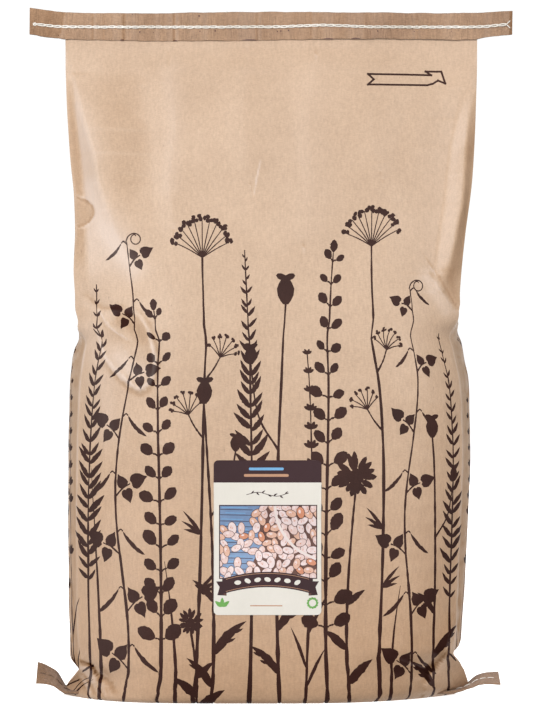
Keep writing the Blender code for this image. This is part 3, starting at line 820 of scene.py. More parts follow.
def arrow():
    """A plain outlined arrow, as one stroke for each of its sides."""
    x, z, scale, stroke = 83.0, 510.2, 0.8155, 1.7
    corners = (
        (-3, 5.6), (3, 0), (-3, -5.6), (58, -5.4), (64, -3.6), (69, -0.4), (76.5, -3.4), (72.2, 9.0),
        (56, 9.0), (62, 5.2),
    )
    ends = [(x + u * scale, z + v * scale) for u, v in corners]
    return [straight(a, b, stroke) for a, b in zip(ends, ends[1:] + ends[:1])]


def straight(a, b, wide):
    """A straight stroke with a little overlap at its ends."""
    length = math.dist(a, b)
    ux, uz = (b[0] - a[0]) / length, (b[1] - a[1]) / length
    w = wide / 2
    a, b = (a[0] - ux * w, a[1] - uz * w), (b[0] + ux * w, b[1] + uz * w)
    return [(p[0] - side * uz * w, p[1] + side * ux * w) for p, side in ((a, 1), (b, 1), (b, -1), (a, -1))]


def meadow():
    """Every outline printed on the paper."""
    front = [
        fern(-157, 340, 6, -4, 18.4, 3.0), blade(-146, 190, -9, 4.4), bean_vine(-127, 374, 3, 6, 15, 2.8),
        round_sprig(-94, 318, -7, 5, 11.4, 3.6), umbel(-66, 384, 7, 5, 32, 3.6), blade(-79, 116, -10, 4.4),
        pod_stem(-50, 262, -7, 5, 12, 3.4), fern(-19, 368, -4, 5, 21, 3.6), pod_stem(8, 346, 5, -6, 14, 3.8),
        lavender(28, 286, 4, 4, 9, 2.8), round_sprig(49, 366, 6, -5, 12, 3.8), daisy(69, 196, 3, -5, 19, 3.6),
        umbel(93, 392, -5, 5, 30, 3.6), bean_vine(117, 336, 7, 6, 13.8, 2.8),
        pod_stem(145, 232, -6, 3, 10.5, 3.1), fern(161, 300, -4, 3, 14, 3.0),
        daisy(-62, 74, -6, 3, 11.4, 2.8), blade(104, 96, 8, 4.2),
    ]
    sides = [
        lavender(184, 246, 6), umbel(206, 300, -4, 3, 16), fern(232, 262, 6, 4, 13), blade(246, 190, -6),
        lavender(-186, 262, -5), round_sprig(-207, 310, 3, 4, 9), pod_stem(-230, 240, -3, 3, 8),
        blade(-248, 180, 7),
    ]
    back = [
        daisy(274, 236, 4, 4, 17), fern(292, 352, 6, 5, 22), bean_vine(314, 330, -4, 6, 18),
        lavender(331, 272, 4, 4, 10), umbel(350, 378, 4, 5, 30, 4.0), blade(364, 150, 9, 5.0),
        pod_stem(379, 318, -5, 5, 13), round_sprig(402, 340, 4, -5, 13), blade(418, 130, 5),
        lavender(-278, 262, 4, 4, 10), round_sprig(-296, 334, -6, 5, 14), umbel(-320, 372, 4, 5, 30),
        blade(-334, 176, 11, 5.0), pod_stem(-350, 284, 5, 5, 13), fern(-368, 346, -4, 4, 22),
        daisy(-391, 222, 4, 4, 20), lavender(-408, 306, 5, 4, 10), blade(-421, 140, -4),
    ]
    shapes = [q for group in front + sides + back for q in group]
    for side in (-1, 1):
        for k in range(9):
            z = 96 + 13.5 * k + RNG.uniform(-2, 2)
            s = side * (193 + RNG.uniform(-1.5, 1.5))
            shapes.append(straight((s, z), (s + side * RNG.uniform(3, 8), z + RNG.uniform(-0.6, 0.6)), 0.9))
    return shapes + arrow()


def corner_print():
    """Ends of stems that the folds of the two bottom corners turn into short strokes, in S and H."""
    strokes = (
        ((-166, 22.5), (-160, 26.5), (-156, 27.6), 2.4, 2.6),
        ((-172, 7.0), (-167, 10.5), (-161.5, 14.5), 1.6, 2.8),
        ((-151, 19.5), (-156, 14.5), (-157.5, 4), 1.5, 1.3),
        ((-146.5, 17), (-151, 10), (-154, 2), 0.6, 3.4),
        ((165, 38.5), (168.5, 36), (171, 31.5), 2.2, 3.2),
    )
    return [ribbon(stroke[:3], *stroke[3:]) for stroke in strokes]


def within(shape, low, high):
    """The outline, kept inside a band of S and the height range of the paper."""
    return [(min(max(p[0], low), high), min(max(p[1], -BASE_RUN * 0.55), 560.0)) for p in shape]


def pieces_between(shapes, cuts):
    """The edges of every outline, split where they cross the cuts, sorted into the strips between."""
    strips = [[] for _ in cuts[1:]]
    for shape in shapes:
        for a, b in zip(shape, shape[1:] + shape[:1]):
            low, high = min(a[0], b[0]), max(a[0], b[0])
            near = cuts[np.searchsorted(cuts, low):np.searchsorted(cuts, high)]
            stops = [c for c in near if low < c < high]
            line = sorted([a, b])
            (ax, az), (bx, bz) = line
            crossings = [(float(c), az + (bz - az) * (c - ax) / (bx - ax)) for c in stops]
            points = [line[0], *crossings, line[1]]
            for one, two in zip(points, points[1:]):
                k = int(np.clip(np.searchsorted(cuts, (one[0] + two[0]) / 2) - 1, 0, len(strips) - 1))
                strips[k].append((one, two))
    return strips


def flat_mesh(grid_s, grid_h, shapes, columns=6):
    """Triangles over a rectangle with every outline cut in, the last outline over each one (-1 for none), and
    whether the first outline holds it."""
    grid_s, grid_h = np.asarray(grid_s, float), np.asarray(grid_h, float)
    ends = list(range(0, len(grid_s) - 1, columns)) + [len(grid_s) - 1]
    cuts = grid_s[ends]
    all_points, all_faces, start = [], [], 0
    for k, segments in enumerate(pieces_between(shapes, cuts)):
        index, points, edges = {}, [], []

        def number(p):
            key = (round(p[0], 5), round(p[1], 5))
            if key not in index:
                index[key] = len(points)
                points.append(Vector(key))
            return index[key]

        own = grid_s[ends[k]:ends[k + 1] + 1]
        for s in own:
            for h in grid_h:
                number((float(s), float(h)))
        for s in own:
            run = [number((float(s), float(h))) for h in grid_h]
            edges += list(zip(run, run[1:]))
        for one, two in segments:
            i, j = number(one), number(two)
            if i != j:
                edges.append((i, j))
        out = delaunay_2d_cdt(points, edges, [], 0, 1e-5, False)
        all_points.append(np.array([tuple(v) for v in out[0]]))
        all_faces.append(np.array(out[2], int) + start)
        start += len(out[0])
    flat, faces = np.concatenate(all_points), np.concatenate(all_faces)
    _, first, index = np.unique(np.round(flat, 4), axis=0, return_index=True, return_inverse=True)
    flat, faces = flat[first], index.reshape(-1)[faces]
    whole = (faces[:, 0] != faces[:, 1]) & (faces[:, 1] != faces[:, 2]) & (faces[:, 0] != faces[:, 2])
    faces = faces[whole]
    middle = flat[faces].mean(axis=1)
    order = np.argsort(middle[:, 0])
    sorted_s = middle[order, 0]
    over = np.full(len(faces), -1)
    first_over = np.zeros(len(faces), bool)
    for number_of, shape in enumerate(shapes):
        xs, zs = [p[0] for p in shape], [p[1] for p in shape]
        some = order[np.searchsorted(sorted_s, min(xs)):np.searchsorted(sorted_s, max(xs))]
        some = some[(middle[some, 1] > min(zs)) & (middle[some, 1] < max(zs))]
        if len(some):
            found = some[inside(middle[some], shape)]
            over[found] = number_of
            if number_of == 0:
                first_over[found] = True
    return flat, faces, over, first_over


# Materials
def linear(r, g, b):
    """Linear colour from 8-bit values."""
    values = []
    for c in (r, g, b):
        c /= 255
        values.append(c / 12.92 if c <= 0.04045 else ((c + 0.055) / 1.055) ** 2.4)
    return (*values, 1.0)


def feed(tree, socket, value):
    """Links a socket to another, or sets its value."""
    if isinstance(value, bpy.types.NodeSocket):
        tree.links.new(value, socket)
    else:
        socket.default_value = value


def node(tree, kind, **values):
    """A shader node with its settings and inputs."""
    made = tree.nodes.new(kind)
    for key, value in values.items():
        if hasattr(made, key):
            setattr(made, key, value)
        else:
            feed(tree, made.inputs[key.replace("_", " ")], value)
    return made


def noise(tree, at, scale, detail, roughness=0.5):
    """Soft noise at a place."""
    made = node(tree, "ShaderNodeTexNoise", Scale=scale, Detail=detail, Roughness=roughness, Vector=at)
    return made.outputs["Fac"]


def stretched(tree, at, *scale):
    """A place with each axis scaled."""
    return node(tree, "ShaderNodeMapping", Scale=scale, Vector=at).outputs["Vector"]


def mapped(tree, value, low, high, to_low=0.0, to_high=1.0, kind="LINEAR"):
    """A value moved from one range to another."""
    made = node(
        tree, "ShaderNodeMapRange", interpolation_type=kind, Value=value,
        From_Min=low, From_Max=high, To_Min=to_low, To_Max=to_high,
    )
    return made.outputs["Result"]


def mixed(tree, factor, a, b, blend="MIX"):
    """Two colours mixed or multiplied."""
    made = node(tree, "ShaderNodeMix", data_type="RGBA", blend_type=blend, Factor=factor, A=a, B=b)
    return made.outputs["Result"]


def worked(tree, operation, *values):
    """A sum, product or power of values."""
    made = node(tree, "ShaderNodeMath", operation=operation)
    for socket, value in zip(made.inputs, values):
        feed(tree, socket, value)
    return made.outputs["Value"]


def paper_material(name, base, light, dark, rough=0.72, fleck=0.5, crepe=0.0, bump=0.25, sheen=0.1,
                   fibre=1.0, gloss=0.35, foot=None, rub_and_highlight=0.4):
    """Paper with clouds of tone, fibres, flecks and a fine bump. Crepe adds ribs along height, and foot a
    painted shade that darkens it towards the floor. Colours are 8-bit values."""
    base, light, dark = linear(*base), linear(*light), linear(*dark)
    material = bpy.data.materials.new(name)
    material.use_nodes = True
    tree = material.node_tree
    at = node(tree, "ShaderNodeTexCoord").outputs["Object"]
    upright = stretched(tree, at, 1.0, 1.0, 0.22)
    colour = mixed(tree, mapped(tree, noise(tree, at, 17.0, 4.0, 0.6), 0.3, 0.7), dark, light)
    level = stretched(tree, at, 0.25, 1.0, 1.0)
    fibres = worked(tree, "ADD", noise(tree, upright, 620.0, 3.0, 0.65), noise(tree, level, 1500.0, 2.0, 0.6))
    tone = mapped(tree, fibres, 0.75, 1.25, 1.0 - 0.10 * fibre, 1.0 + 0.09 * fibre)
    colour = mixed(tree, 1.0, colour, tone, "MULTIPLY")
    # Dark flecks, in a few places
    specks = node(tree, "ShaderNodeTexVoronoi", feature="F1", Scale=240.0, Vector=upright)
    spot = mapped(tree, specks.outputs["Distance"], 0.045, 0.11, fleck, 0.0)
    few = worked(tree, "MULTIPLY", spot, mapped(tree, noise(tree, at, 75.0, 1.0), 0.56, 0.66))
    colour = mixed(tree, few, colour, (*[c * 0.45 for c in base[:3]], 1.0))
    # Painted shade: where the wear attribute is below 0 the paper is made darker and warmer. Above 0 it is
    # made paler, partly as rubbed paper and partly as a painted highlight
    rub_and_painted_light = node(tree, "ShaderNodeAttribute", attribute_name="wear_and_painted_light").outputs["Fac"]
    painted_shade = mapped(tree, rub_and_painted_light, -3.0, 0.0, 0.16, 1.0)
    red, green, blue = [worked(tree, "POWER", painted_shade, power) for power in (0.78, 1.0, 1.25)]
    warmed = node(tree, "ShaderNodeCombineColor", Red=red, Green=green, Blue=blue)
    colour = mixed(tree, 1.0, colour, warmed.outputs["Color"], "MULTIPLY")
    colour = mixed(tree, mapped(tree, rub_and_painted_light, 0.0, 1.0, 0.0, rub_and_highlight), colour, (0.75, 0.65, 0.60, 1.0))
    # Painted shade: the colour is darker towards the floor
    if foot:
        up = node(tree, "ShaderNodeSeparateXYZ", Vector=at).outputs["Z"]
        low = mapped(tree, up, 0.34, 0.0, kind="SMOOTHSTEP")
        colour = mixed(tree, low, colour, (*foot, 1.0), "MULTIPLY")
    height = fibres
    if crepe:
        tall = stretched(tree, at, 1.0, 1.0, 0.06)
        height = worked(tree, "MULTIPLY_ADD", noise(tree, tall, 900.0, 2.0), crepe, height)
    height = worked(tree, "MULTIPLY_ADD", noise(tree, at, 110.0, 2.0), 2.2, height)
    bumps = node(tree, "ShaderNodeBump", Strength=bump, Distance=0.0004, Height=height)
    shader = tree.nodes["Principled BSDF"].inputs
    feed(tree, shader["Base Color"], colour)
    feed(tree, shader["Normal"], bumps.outputs["Normal"])
    feed(tree, shader["Roughness"], rough)
    # Where the paper gets painted shade (wear below 0) it has no gloss left
    feed(tree, shader["Specular IOR Level"], mapped(tree, rub_and_painted_light, -0.30, -0.04, 0.0, gloss))
    feed(tree, shader["Sheen Weight"], sheen)
    feed(tree, shader["Sheen Roughness"], 0.5)
    return material


def tape_material(name, base, light, dark, rough):
    """Creped kraft tape."""
    return paper_material(name, base, light, dark, rough, 1.0, 4.0, 0.9, fibre=1.9)


def thread_material(name, base, light, dark, sheen):
    """Cotton thread."""
    return paper_material(name, base, light, dark, 0.85, 0.0, 0.0, 0.5, sheen)


def label_material(name, base, light, dark, fibre=0.3, gloss=0.35):
    """The label's smooth paper or its print."""
    return paper_material("label_" + name, base, light, dark, 0.45, 0.0, 0.0, 0.03, 0.0, fibre, gloss)


# Kraft paper, with painted shade towards the floor through foot
KRAFT = paper_material(
    "kraft", (186, 159, 135), (190, 163, 139), (181, 154, 130), 0.46, bump=0.35, sheen=0.0, gloss=0.3,
    foot=(0.92, 0.84, 0.76),
)
# The ink gets the same painted shade towards the floor, weaker
INK = paper_material(
    "brown_ink", (53, 32, 28), (59, 37, 32), (47, 28, 24), 0.55, 0.15, 0.0, 0.3, 0.0, 0.9, gloss=0.12,
    foot=(0.96, 0.92, 0.92), rub_and_highlight=0.07,
)
TAPE = tape_material("tape_kraft", (160, 128, 102), (169, 137, 110), (145, 114, 90), 0.8)
SEAM_TAPE = tape_material("seam_tape_kraft", (137, 106, 81), (148, 116, 90), (116, 88, 66), 0.85)
THREAD = thread_material("thread_cotton", (232, 227, 219), (240, 236, 230), (210, 203, 192), 0.2)
BROWN = thread_material("thread_brown", (84, 60, 46), (96, 70, 54), (66, 46, 36), 0.1)
CREAM = label_material("cream", (208, 203, 193), (211, 206, 197), (204, 199, 189), 0.15)
BAND = label_material("band", (50, 30, 33), (54, 33, 36), (46, 27, 30), gloss=0.2)
BOARD = label_material("board", (102, 126, 158), (128, 151, 182), (78, 102, 136), 0.6)
GAP = label_material("gap", (92, 60, 52), (98, 66, 56), (76, 48, 42), 0.6)
BEANS = [
    label_material("bean_%d" % i, c, [v + 12 for v in c], [v - 14 for v in c], 0.5)
    for i, c in enumerate(((206, 180, 174), (202, 162, 142), (212, 194, 192), (190, 128, 98)))
]
LEAFY = label_material("green", (98, 150, 72), (106, 158, 80), (86, 138, 64))
OCHRE = label_material("ochre", (172, 130, 102), (176, 134, 106), (166, 124, 96))
SKY = label_material("sky", (104, 156, 198), (110, 162, 202), (96, 148, 190))


def make_sack():
    """The printed paper of the sack, with its base."""
    step = 2.2
    front = np.linspace(0, HALF, round(HALF / step) + 1)[:-1]
    gusset = np.linspace(HALF, TURN, round(LEAF / step) + 2)
    back = np.linspace(TURN + LEAF, WHOLE, round(HALF / step / 1.6) + 1)
    right = np.concatenate([front, gusset[:-1], (2 * TURN - gusset)[::-1][:-1], back])
    grid_s = np.concatenate([-right[::-1][:-1], right])
    # Closer columns at both front edges and over the short crease
    fine = np.concatenate([
        np.arange(-HALF + 1.1, -HALF + 27, 2.2), np.arange(HALF - 25, HALF, 2.2),
        np.arange(-17.0, -4.0, 0.9),
    ])
    fine = fine[np.abs(fine[:, None] - grid_s[None, :]).min(axis=1) > 0.5]
    grid_s = np.sort(np.concatenate([grid_s, fine]))
    lap = np.array(LAP)
    grid_s = np.array([s for s in grid_s if np.abs(lap - s).min() > 0.9])
    grid_s = np.sort(np.concatenate([grid_s, lap]))
    grid_h = np.concatenate([
        np.linspace(-BASE_RUN, 0, 13)[:-1], np.arange(0, 40, step * 0.7),
        np.arange(40, FLAT_FROM, step * 1.15), [FLAT_FROM, 549, 558, MOUTH_TOP],
    ])
    # Closer rows where the half-moon dent and the short crease are
    close = np.arange(385.0, 444.0, step * 1.15 / 2)
    close = close[np.abs(close[:, None] - grid_h[None, :]).min(axis=1) > 0.5]
    grid_h = np.sort(np.concatenate([grid_h, close]))
    shapes = []
    for shape in meadow():
        middle = sum(p[0] for p in shape) / len(shape)
        if abs(middle) < WHOLE - 2:
            shapes.append(straight_down(within(shape, -WHOLE + 1.5, WHOLE - 1.5)))
    shapes += corner_print()
    flat, faces, over, _ = flat_mesh(grid_s, grid_h, shapes)
    low = flat[:, 1] < -1e-6
    points = np.zeros((len(flat), 3))
    points[~low] = place(flat[~low, 0], flat[~low, 1])
    points[low] = base_point(flat[low, 0], flat[low, 1])
    rub_and_painted_light = np.where(low, 0.0, wear_and_painted_light_at(flat[:, 0], flat[:, 1]))
    return mesh_of("sack_paper", points, faces.tolist(), over >= 0, [KRAFT, INK], 38, rub_and_painted_light)


sack = make_sack()
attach(sack, "root")
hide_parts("sack")


def front_s(x, z):
    """S of the points of the front at this X and height."""
    rows = np.clip(np.rint(z).astype(int), 0, len(H_AXIS) - 1)
    some = np.abs(S_AXIS) < 120
    return np.array([np.interp(a, PAPER[r, some, 0], S_AXIS[some]) for a, r in zip(x, rows)])


def round_box(u0, u1, v0, v1, r, count=5):
    """A rectangle with rounded corners."""
    made = []
    middles = ((u1 - r, v1 - r, 0), (u0 + r, v1 - r, 90), (u0 + r, v0 + r, 180), (u1 - r, v0 + r, 270))
    for cu, cv, start in middles:
        for k in range(count):
            a = math.radians(start + 90 * k / (count - 1))
            made.append((cu + r * math.cos(a), cv + r * math.sin(a)))
    return made


def cut_to(shape, u0, u1, v0, v1):
    """The outline with its points pulled inside a rectangle."""
    return [(min(max(u, u0), u1), min(max(v, v0), v1)) for u, v in shape]


# Half size of the label, the corners of its picture, and how far its dark band reaches down
LABEL_HALF = ((LABEL_X[1] - LABEL_X[0]) / 2, (LABEL_Z[1] - LABEL_Z[0]) / 2)
PICTURE = (-39.0, 39.9, -33.2, 26.4)
BAND_TALL = 17.9
LABEL_MATERIALS = [CREAM, BAND, BOARD, GAP] + BEANS + [OCHRE, SKY, LEAFY]
# The places of those materials. The last kind of bean is a dark one
WHITE, DARK, BLUE, SHADE = 0, 1, 2, 3
FIRST_BEAN, THIRD_BEAN, LAST_BEAN = 4, 6, 7
OCHRE_PRINT, PALE_BLUE, GREEN = 8, 9, 10


def oblong(u0, u1, v0, v1):
    """A rectangle's outline."""
    return [(u0, v0), (u1, v0), (u1, v1), (u0, v1)]


def boards(rng, a, d):
    """Dark joins and pale edges of the blue boards, from the picture's top left corner."""
    made = []
    for k in range(13):
        v = d - 3.0 - 4.3 * k + rng.uniform(-0.6, 0.6)
        made.append((straight((a + 0.4, v), (a + 29 - 3 * abs(k % 3 - 1), v - 0.5), 0.5), DARK))
        start, end = (a + 1.5 + 3 * (k % 2), v + 1.6), (a + 22 - 2 * (k % 4), v + 1.2)
        made.append((straight(start, end, 0.45), PALE_BLUE))
    return made


def bean_picture(rng, a, b, c, d):
    """Speckled beans scattered over a picture, with few over its boards."""
    made, placed = [], []
    for j in range(int((d - c) / 5.6) + 2):
        for i in range(13):
            u = a - 1 + 6.9 * i + (3.4 if j % 2 else 0) + rng.uniform(-1.5, 1.5)
            v = c + 5.7 * j + rng.uniform(-1.3, 1.3)
            bare = 0.85 if u < a + 26 and v > d - 15 else 0.22 if u < a + 30 else 0.0
            if rng.uniform() < bare:
                continue
            placed.append((u, v))
    for k in rng.permutation(len(placed)):
        u, v = placed[k]
        turn, long, thin = rng.uniform(0, 180), rng.uniform(3.7, 4.9), rng.uniform(0.54, 0.68)
        halo = cut_to(blob((u, v), long + 0.5, 14, 0.02, thin * 1.05, turn), a, b, c, d)
        body = cut_to(blob((u, v), long, 14, 0.03, thin, turn), a, b, c, d)
        if np.ptp(np.array(body), axis=0).min() < 1:
            continue
        kind = int(rng.choice(4, p=(0.36, 0.26, 0.28, 0.10)))
        made.append((halo, DARK if FIRST_BEAN + kind == LAST_BEAN else SHADE))
        made.append((body, FIRST_BEAN + kind))
        shine = blob((u - 0.8, v + 0.9), long * 0.36, 8, 0.1, 0.6, turn)
        lit = THIRD_BEAN if FIRST_BEAN + kind != THIRD_BEAN else FIRST_BEAN
        made.append((cut_to(shine, a, b, c, d), lit))
        for _ in range(2):
            m = (u + rng.uniform(-2, 2), v + rng.uniform(-1.6, 0.6))
            made.append((cut_to(blob(m, 0.55, 6, 0.3, 0.6, turn), a, b, c, d), LAST_BEAN))
    return made


def arch(u, drop):
    """V of the arched ribbon at U, and a drop below its upper edge."""
    return -27.4 - 7.2 * (u / 41) ** 2 - drop


def arched_band(us, low, high):
    """An outline between two drops of the arched ribbon."""
    return [(u, arch(u, low)) for u in us] + [(u, arch(u, high)) for u in us[::-1]]


def arched_ribbon():
    """The dark ribbon with its forked tails, two fine lines and a row of beans."""
    made = []
    for side in (-1, 1):
        tail = [
            (side * 33, arch(33, 3.0)), (side * 41.4, arch(41, 0.6)), (side * 38.6, arch(41, 5.2)),
            (side * 40.4, arch(41, 11.6)), (side * 33, arch(33, 14.6)),
        ]
        made.append((tail, DARK))
        tuck = [(side * 33, arch(33, 12.3)), (side * 36.6, arch(37, 11.6)), (side * 33, arch(33, 14.8))]
        made.append((tuck, SHADE))
    us = np.linspace(-36.5, 36.5, 25)
    made.append((arched_band(us, 0, 12.4), DARK))
    for drop in (1.3, 11.1):
        made.append((arched_band(us[1:-1], drop - 0.18, drop + 0.18), OCHRE_PRINT))
    for k in range(7):
        u = -24 + 8 * k
        made.append((blob((u, arch(u, 6.2)), 2.7, 14, 0.03, 0.66, -u * 0.5 + (18 if k % 2 else -18)), WHITE))
    return made


def label_shapes():
    """Outlines of the label's print and the material of each, lowest first. U and V are from its middle."""
    rng = np.random.default_rng(23)
    wide, tall = LABEL_HALF
    made = [
        (round_box(-wide, wide, -tall, tall, 3.6, 7), WHITE),
        (oblong(-wide - 1, wide + 1, tall - BAND_TALL, tall + 1), DARK),
        (round_box(-15, 13, 54.2, 56.4, 1.0), PALE_BLUE),
        (round_box(-19, 17, 49.0, 51.2, 1.0), OCHRE_PRINT),
    ]
    # A small sprig in place of a heading
    made.append((ribbon([(-17, 34.6), (-8, 36.6), (0, 34.8), (8, 33.4), (17, 36.0)], 0.5, 0.5, 0.05), DARK))
    sprig = (
        (-13, 35.4, 40), (-9, 36.3, 130), (-4.5, 35.9, 50), (0.5, 34.6, 120), (5, 33.9, 60), (10, 33.9, 130),
        (14, 35, 45),
    )
    for u, v, a in sprig:
        made.append((leaf((u, v), a, 3.4, 1.2), DARK))
    # The picture in its dark frame, with blue boards in the top left
    u0, u1, v0, v1 = PICTURE
    a, b, c, d = u0 + 0.8, u1 - 0.8, v0 + 0.8, v1 - 0.8
    made += [(oblong(u0, u1, v0, v1), DARK), (oblong(a, b, c, d), SHADE)]
    wall = [(a, d), (a + 35, d), (a + 31, d - 16), (a + 35, d - 30), (a + 27, d - 44), (a + 22, c), (a, c)]
    made.append((cut_to(wall, a, b, c, d), BLUE))
    made += boards(rng, a, d) + bean_picture(rng, a, b, c, d)
    # The pale rim of a dish
    rim = [(a + 44, d), (a + 46, d - 12), (a + 52, d - 24), (a + 62, d - 35), (b, d - 43)]
    made.append((cut_to(ribbon(rim, 2.4, 2.2, 0.02), a, b, c, d), THIRD_BEAN))
    lit = [(p + 0.2, q + 0.2) for p, q in rim]
    made.append((cut_to(ribbon(lit, 0.7, 0.6, 0.02), a, b, c, d), WHITE))
    made += arched_ribbon()
    # Small leaves and a plain wreath at the foot
    for turn in (-52, 0, 52):
        made.append((leaf((-36.5, -55.6), turn, 7.4, 3.3, 0, 0.2), GREEN))
    for k in range(12):
        q = math.radians(30 * k)
        at = (36.2 + 3.1 * math.cos(q), -52.6 + 3.1 * math.sin(q))
        made.append((leaf(at, -30 * k + 10, 3.2, 1.6, 0, 0.3), GREEN))
    made.append((round_box(-14, 12, -55.2, -54.3, 0.4), OCHRE_PRINT))
    return made


def make_label():
    """The stuck-on label, with its print cut into its face."""
    u_mid, v_mid = sum(LABEL_X) / 2, sum(LABEL_Z) / 2
    wide, tall = LABEL_HALF
    shapes = label_shapes()
    grid_u, grid_v = np.linspace(-wide - 2, wide + 2, 40), np.linspace(-tall - 2, tall + 2, 56)
    flat, faces, over, on_label = flat_mesh(grid_u, grid_v, [q for q, _ in shapes])
    kept = [tuple(face) for face in faces[on_label].tolist()]
    slots = [shapes[i][1] for i in over[on_label]]
    used = sorted({i for face in kept for i in face})
    index = {old: new for new, old in enumerate(used)}
    kept = [tuple(index[i] for i in face) for face in kept]
    flat = flat[used]
    s = front_s(u_mid + flat[:, 0], v_mid + flat[:, 1])
    lift = 0.42 + 0.08 * lattice(flat[:, 0] * 4, flat[:, 1] * 4, 60, 60, 77)
    face_up = place(s, v_mid + flat[:, 1], 1.0)
    paper = place(s, v_mid + flat[:, 1])
    normal = face_up - paper
    to_edge = np.minimum(np.abs(np.abs(flat[:, 0]) - wide), np.abs(np.abs(flat[:, 1]) - tall))
    near = np.exp(-(to_edge / 5.0))
    lift = lift + 0.12 * near * np.clip(lattice(flat[:, 0] * 5, flat[:, 1] * 5, 90, 90, 78), 0, 1)
    top = paper + normal * lift[:, None]
    under = paper + normal * (lift - 0.26)[:, None]
    count = {}
    for face in kept:
        for i, j in zip(face, face[1:] + face[:1]):
            count[i, j] = count.get((i, j), 0) + 1
    sides = []
    n = len(top)
    for i, j in count:
        if (j, i) not in count:
            sides.append((j, i, i + n, j + n))
    faces_all = kept + sides + [tuple(q + n for q in face[::-1]) for face in kept]
    slots_all = slots + [0] * (len(sides) + len(kept))
    return mesh_of("label_sheet", np.concatenate([top, under]), faces_all, slots_all, LABEL_MATERIALS, 50)


def strip_mesh(name, rows, material, smooth=50, tone=None, marks=()):
    """A closed tube of points through rows, its ends filled with flat strips, with marks of a second
    material."""
    around = len(rows[0])
    faces = []
    for i in range(len(rows) - 1):
        for j in range(around):
            k = (j + 1) % around
            faces.append((i * around + j, i * around + k, (i + 1) * around + k, (i + 1) * around + j))
    half = around // 2
    for i, turn in ((0, 1), (len(rows) - 1, -1)):
        for j in range(half - 1):
            first, last = i * around + j, i * around + around - 1 - j
            faces.append((first, first + 1, last - 1, last)[::turn])
    points, slots = np.concatenate(rows), [0] * len(faces)
    # Marks in the dark gap material: needle marks, and painted shadows of gaps under the tape's lower edge
    for mark in marks:
        faces.append(tuple(range(len(points), len(points) + len(mark))))
        slots.append(1)
        points = np.concatenate([points, mark])
    rub_and_painted_light = tone(points[:, 0], points[:, 2]) if tone else None
    return mesh_of(name, points, faces, slots, [material, GAP] if len(marks) else [material], smooth, rub_and_painted_light)


def wave(x, wide, seed):
    """Smooth noise along one line, from -1 to 1."""
    values = np.random.default_rng(seed).uniform(-1, 1, 2000)
    a = np.asarray(x, float) / wide + 900
    i = np.floor(a).astype(int)
    f = a - i
    f = f * f * (3 - 2 * f)
    return values[i] * (1 - f) + values[i + 1] * f


# Half length of the top tape, and how far apart its sections are
TAPE_HALF, TAPE_STEP = 201.0, 1.5


def tape_out(x):
    """Half thickness of the top tape along X."""
    return np.interp(np.abs(x), (172, 180), (1.75, 0.78))


def tape_bend(x):
    """How far the free ends of the top tape bend, at their foot."""
    return 0.16 * max(abs(x) - 176, 0) * (1 if x > 0 else -0.5)


# Needle marks of the top tape as X, height and size, and painted shadows of the gaps under its lower edge as
# X and width
NEEDLE_MARKS = (
    (-115.7, 565.5, 0.55), (-177.0, 548.2, 0.5), (-109.3, 551.0, 0.8), (-60.0, 564.3, 0.9),
    (-46.6, 552.0, 0.9), (-59.3, 551.6, 0.6), (5.2, 551.4, 0.7), (8.0, 551.8, 0.8),
    (14.4, 552.4, 0.8), (88.6, 551.8, 0.7),
    (119.0, 551.4, 0.6), (150.0, 551.6, 0.5), (-98.0, 550.6, 0.5),
)
# Creases across the top tape, painted as a line of shade with a painted highlight beside it, as X and the
# depth of that shade
TAPE_CREASE_SHADE = (
    (-149.0, 0.5), (-122.6, 0.8), (-80.9, 0.6), (-139.0, 0.3), (-12.0, 0.3), (33.0, 0.25), (121.0, 0.3),
)
EDGE_GAP_SHADOWS = ((-17.9, 13.0), (47.6, 9.0), (70.4, 8.0), (-124.0, 4.0), (-80.0, 4.0))


def tape_tone(x, z):
    """Tone of the top tape: painted shade over its bent left end with a painted highlight beside the bend,
    painted shade and highlight at the cross creases, darker at the cut right end, and a little random tone.
    """
    bend_at = -171.8 + (z - 567.0) * 0.21
    tone = -0.45 * (x < bend_at) + 0.15 * bell(x - bend_at - 1.8, 1.6) * (x > bend_at)
    for at, depth in TAPE_CREASE_SHADE:
        tone = tone - depth * bell(x - at, 0.9) + 0.25 * depth * bell(x - at - 2.4, 1.5)
    return tone - 1.2 * (x > 199.4) + 0.12 * wave(x, 5.0, 9)


def on_tape(rows, mark):
    """The mark's outline of X and height, laid just over the front of the tape."""
    made = []
    for x, z in mark:
        row = rows[int(np.clip(round((x + TAPE_HALF) / TAPE_STEP), 0, len(rows) - 1))][:17]
        made.append((x, float(np.interp(z, row[:, 2], row[:, 1])) - 0.06, z))
    return np.array(made)


def tape_marks(rows):
    """Needle marks, and painted shadows of the gaps at the lower edge."""
    marks = []
    for x, z, size in NEEDLE_MARKS:
        a = np.linspace(0, 2 * np.pi, 9)[:-1]
        marks.append([(x + 0.75 * size * math.cos(q), z + size * math.sin(q)) for q in a])
    # Painted shadows of the gaps under the tape's lower edge
    for x, wide in EDGE_GAP_SHADOWS:
        low = float(curve(TAPE_LOWER, x)) + 0.05
        t = np.linspace(-1, 1, 9)
        under = [(x + wide / 2 * q, low - 0.25) for q in t]
        marks.append(under + [(x + wide / 2 * q, low + 0.75 * (1 - q * q)) for q in t[::-1][1:-1]])
    return [on_tape(rows, mark) for mark in marks]


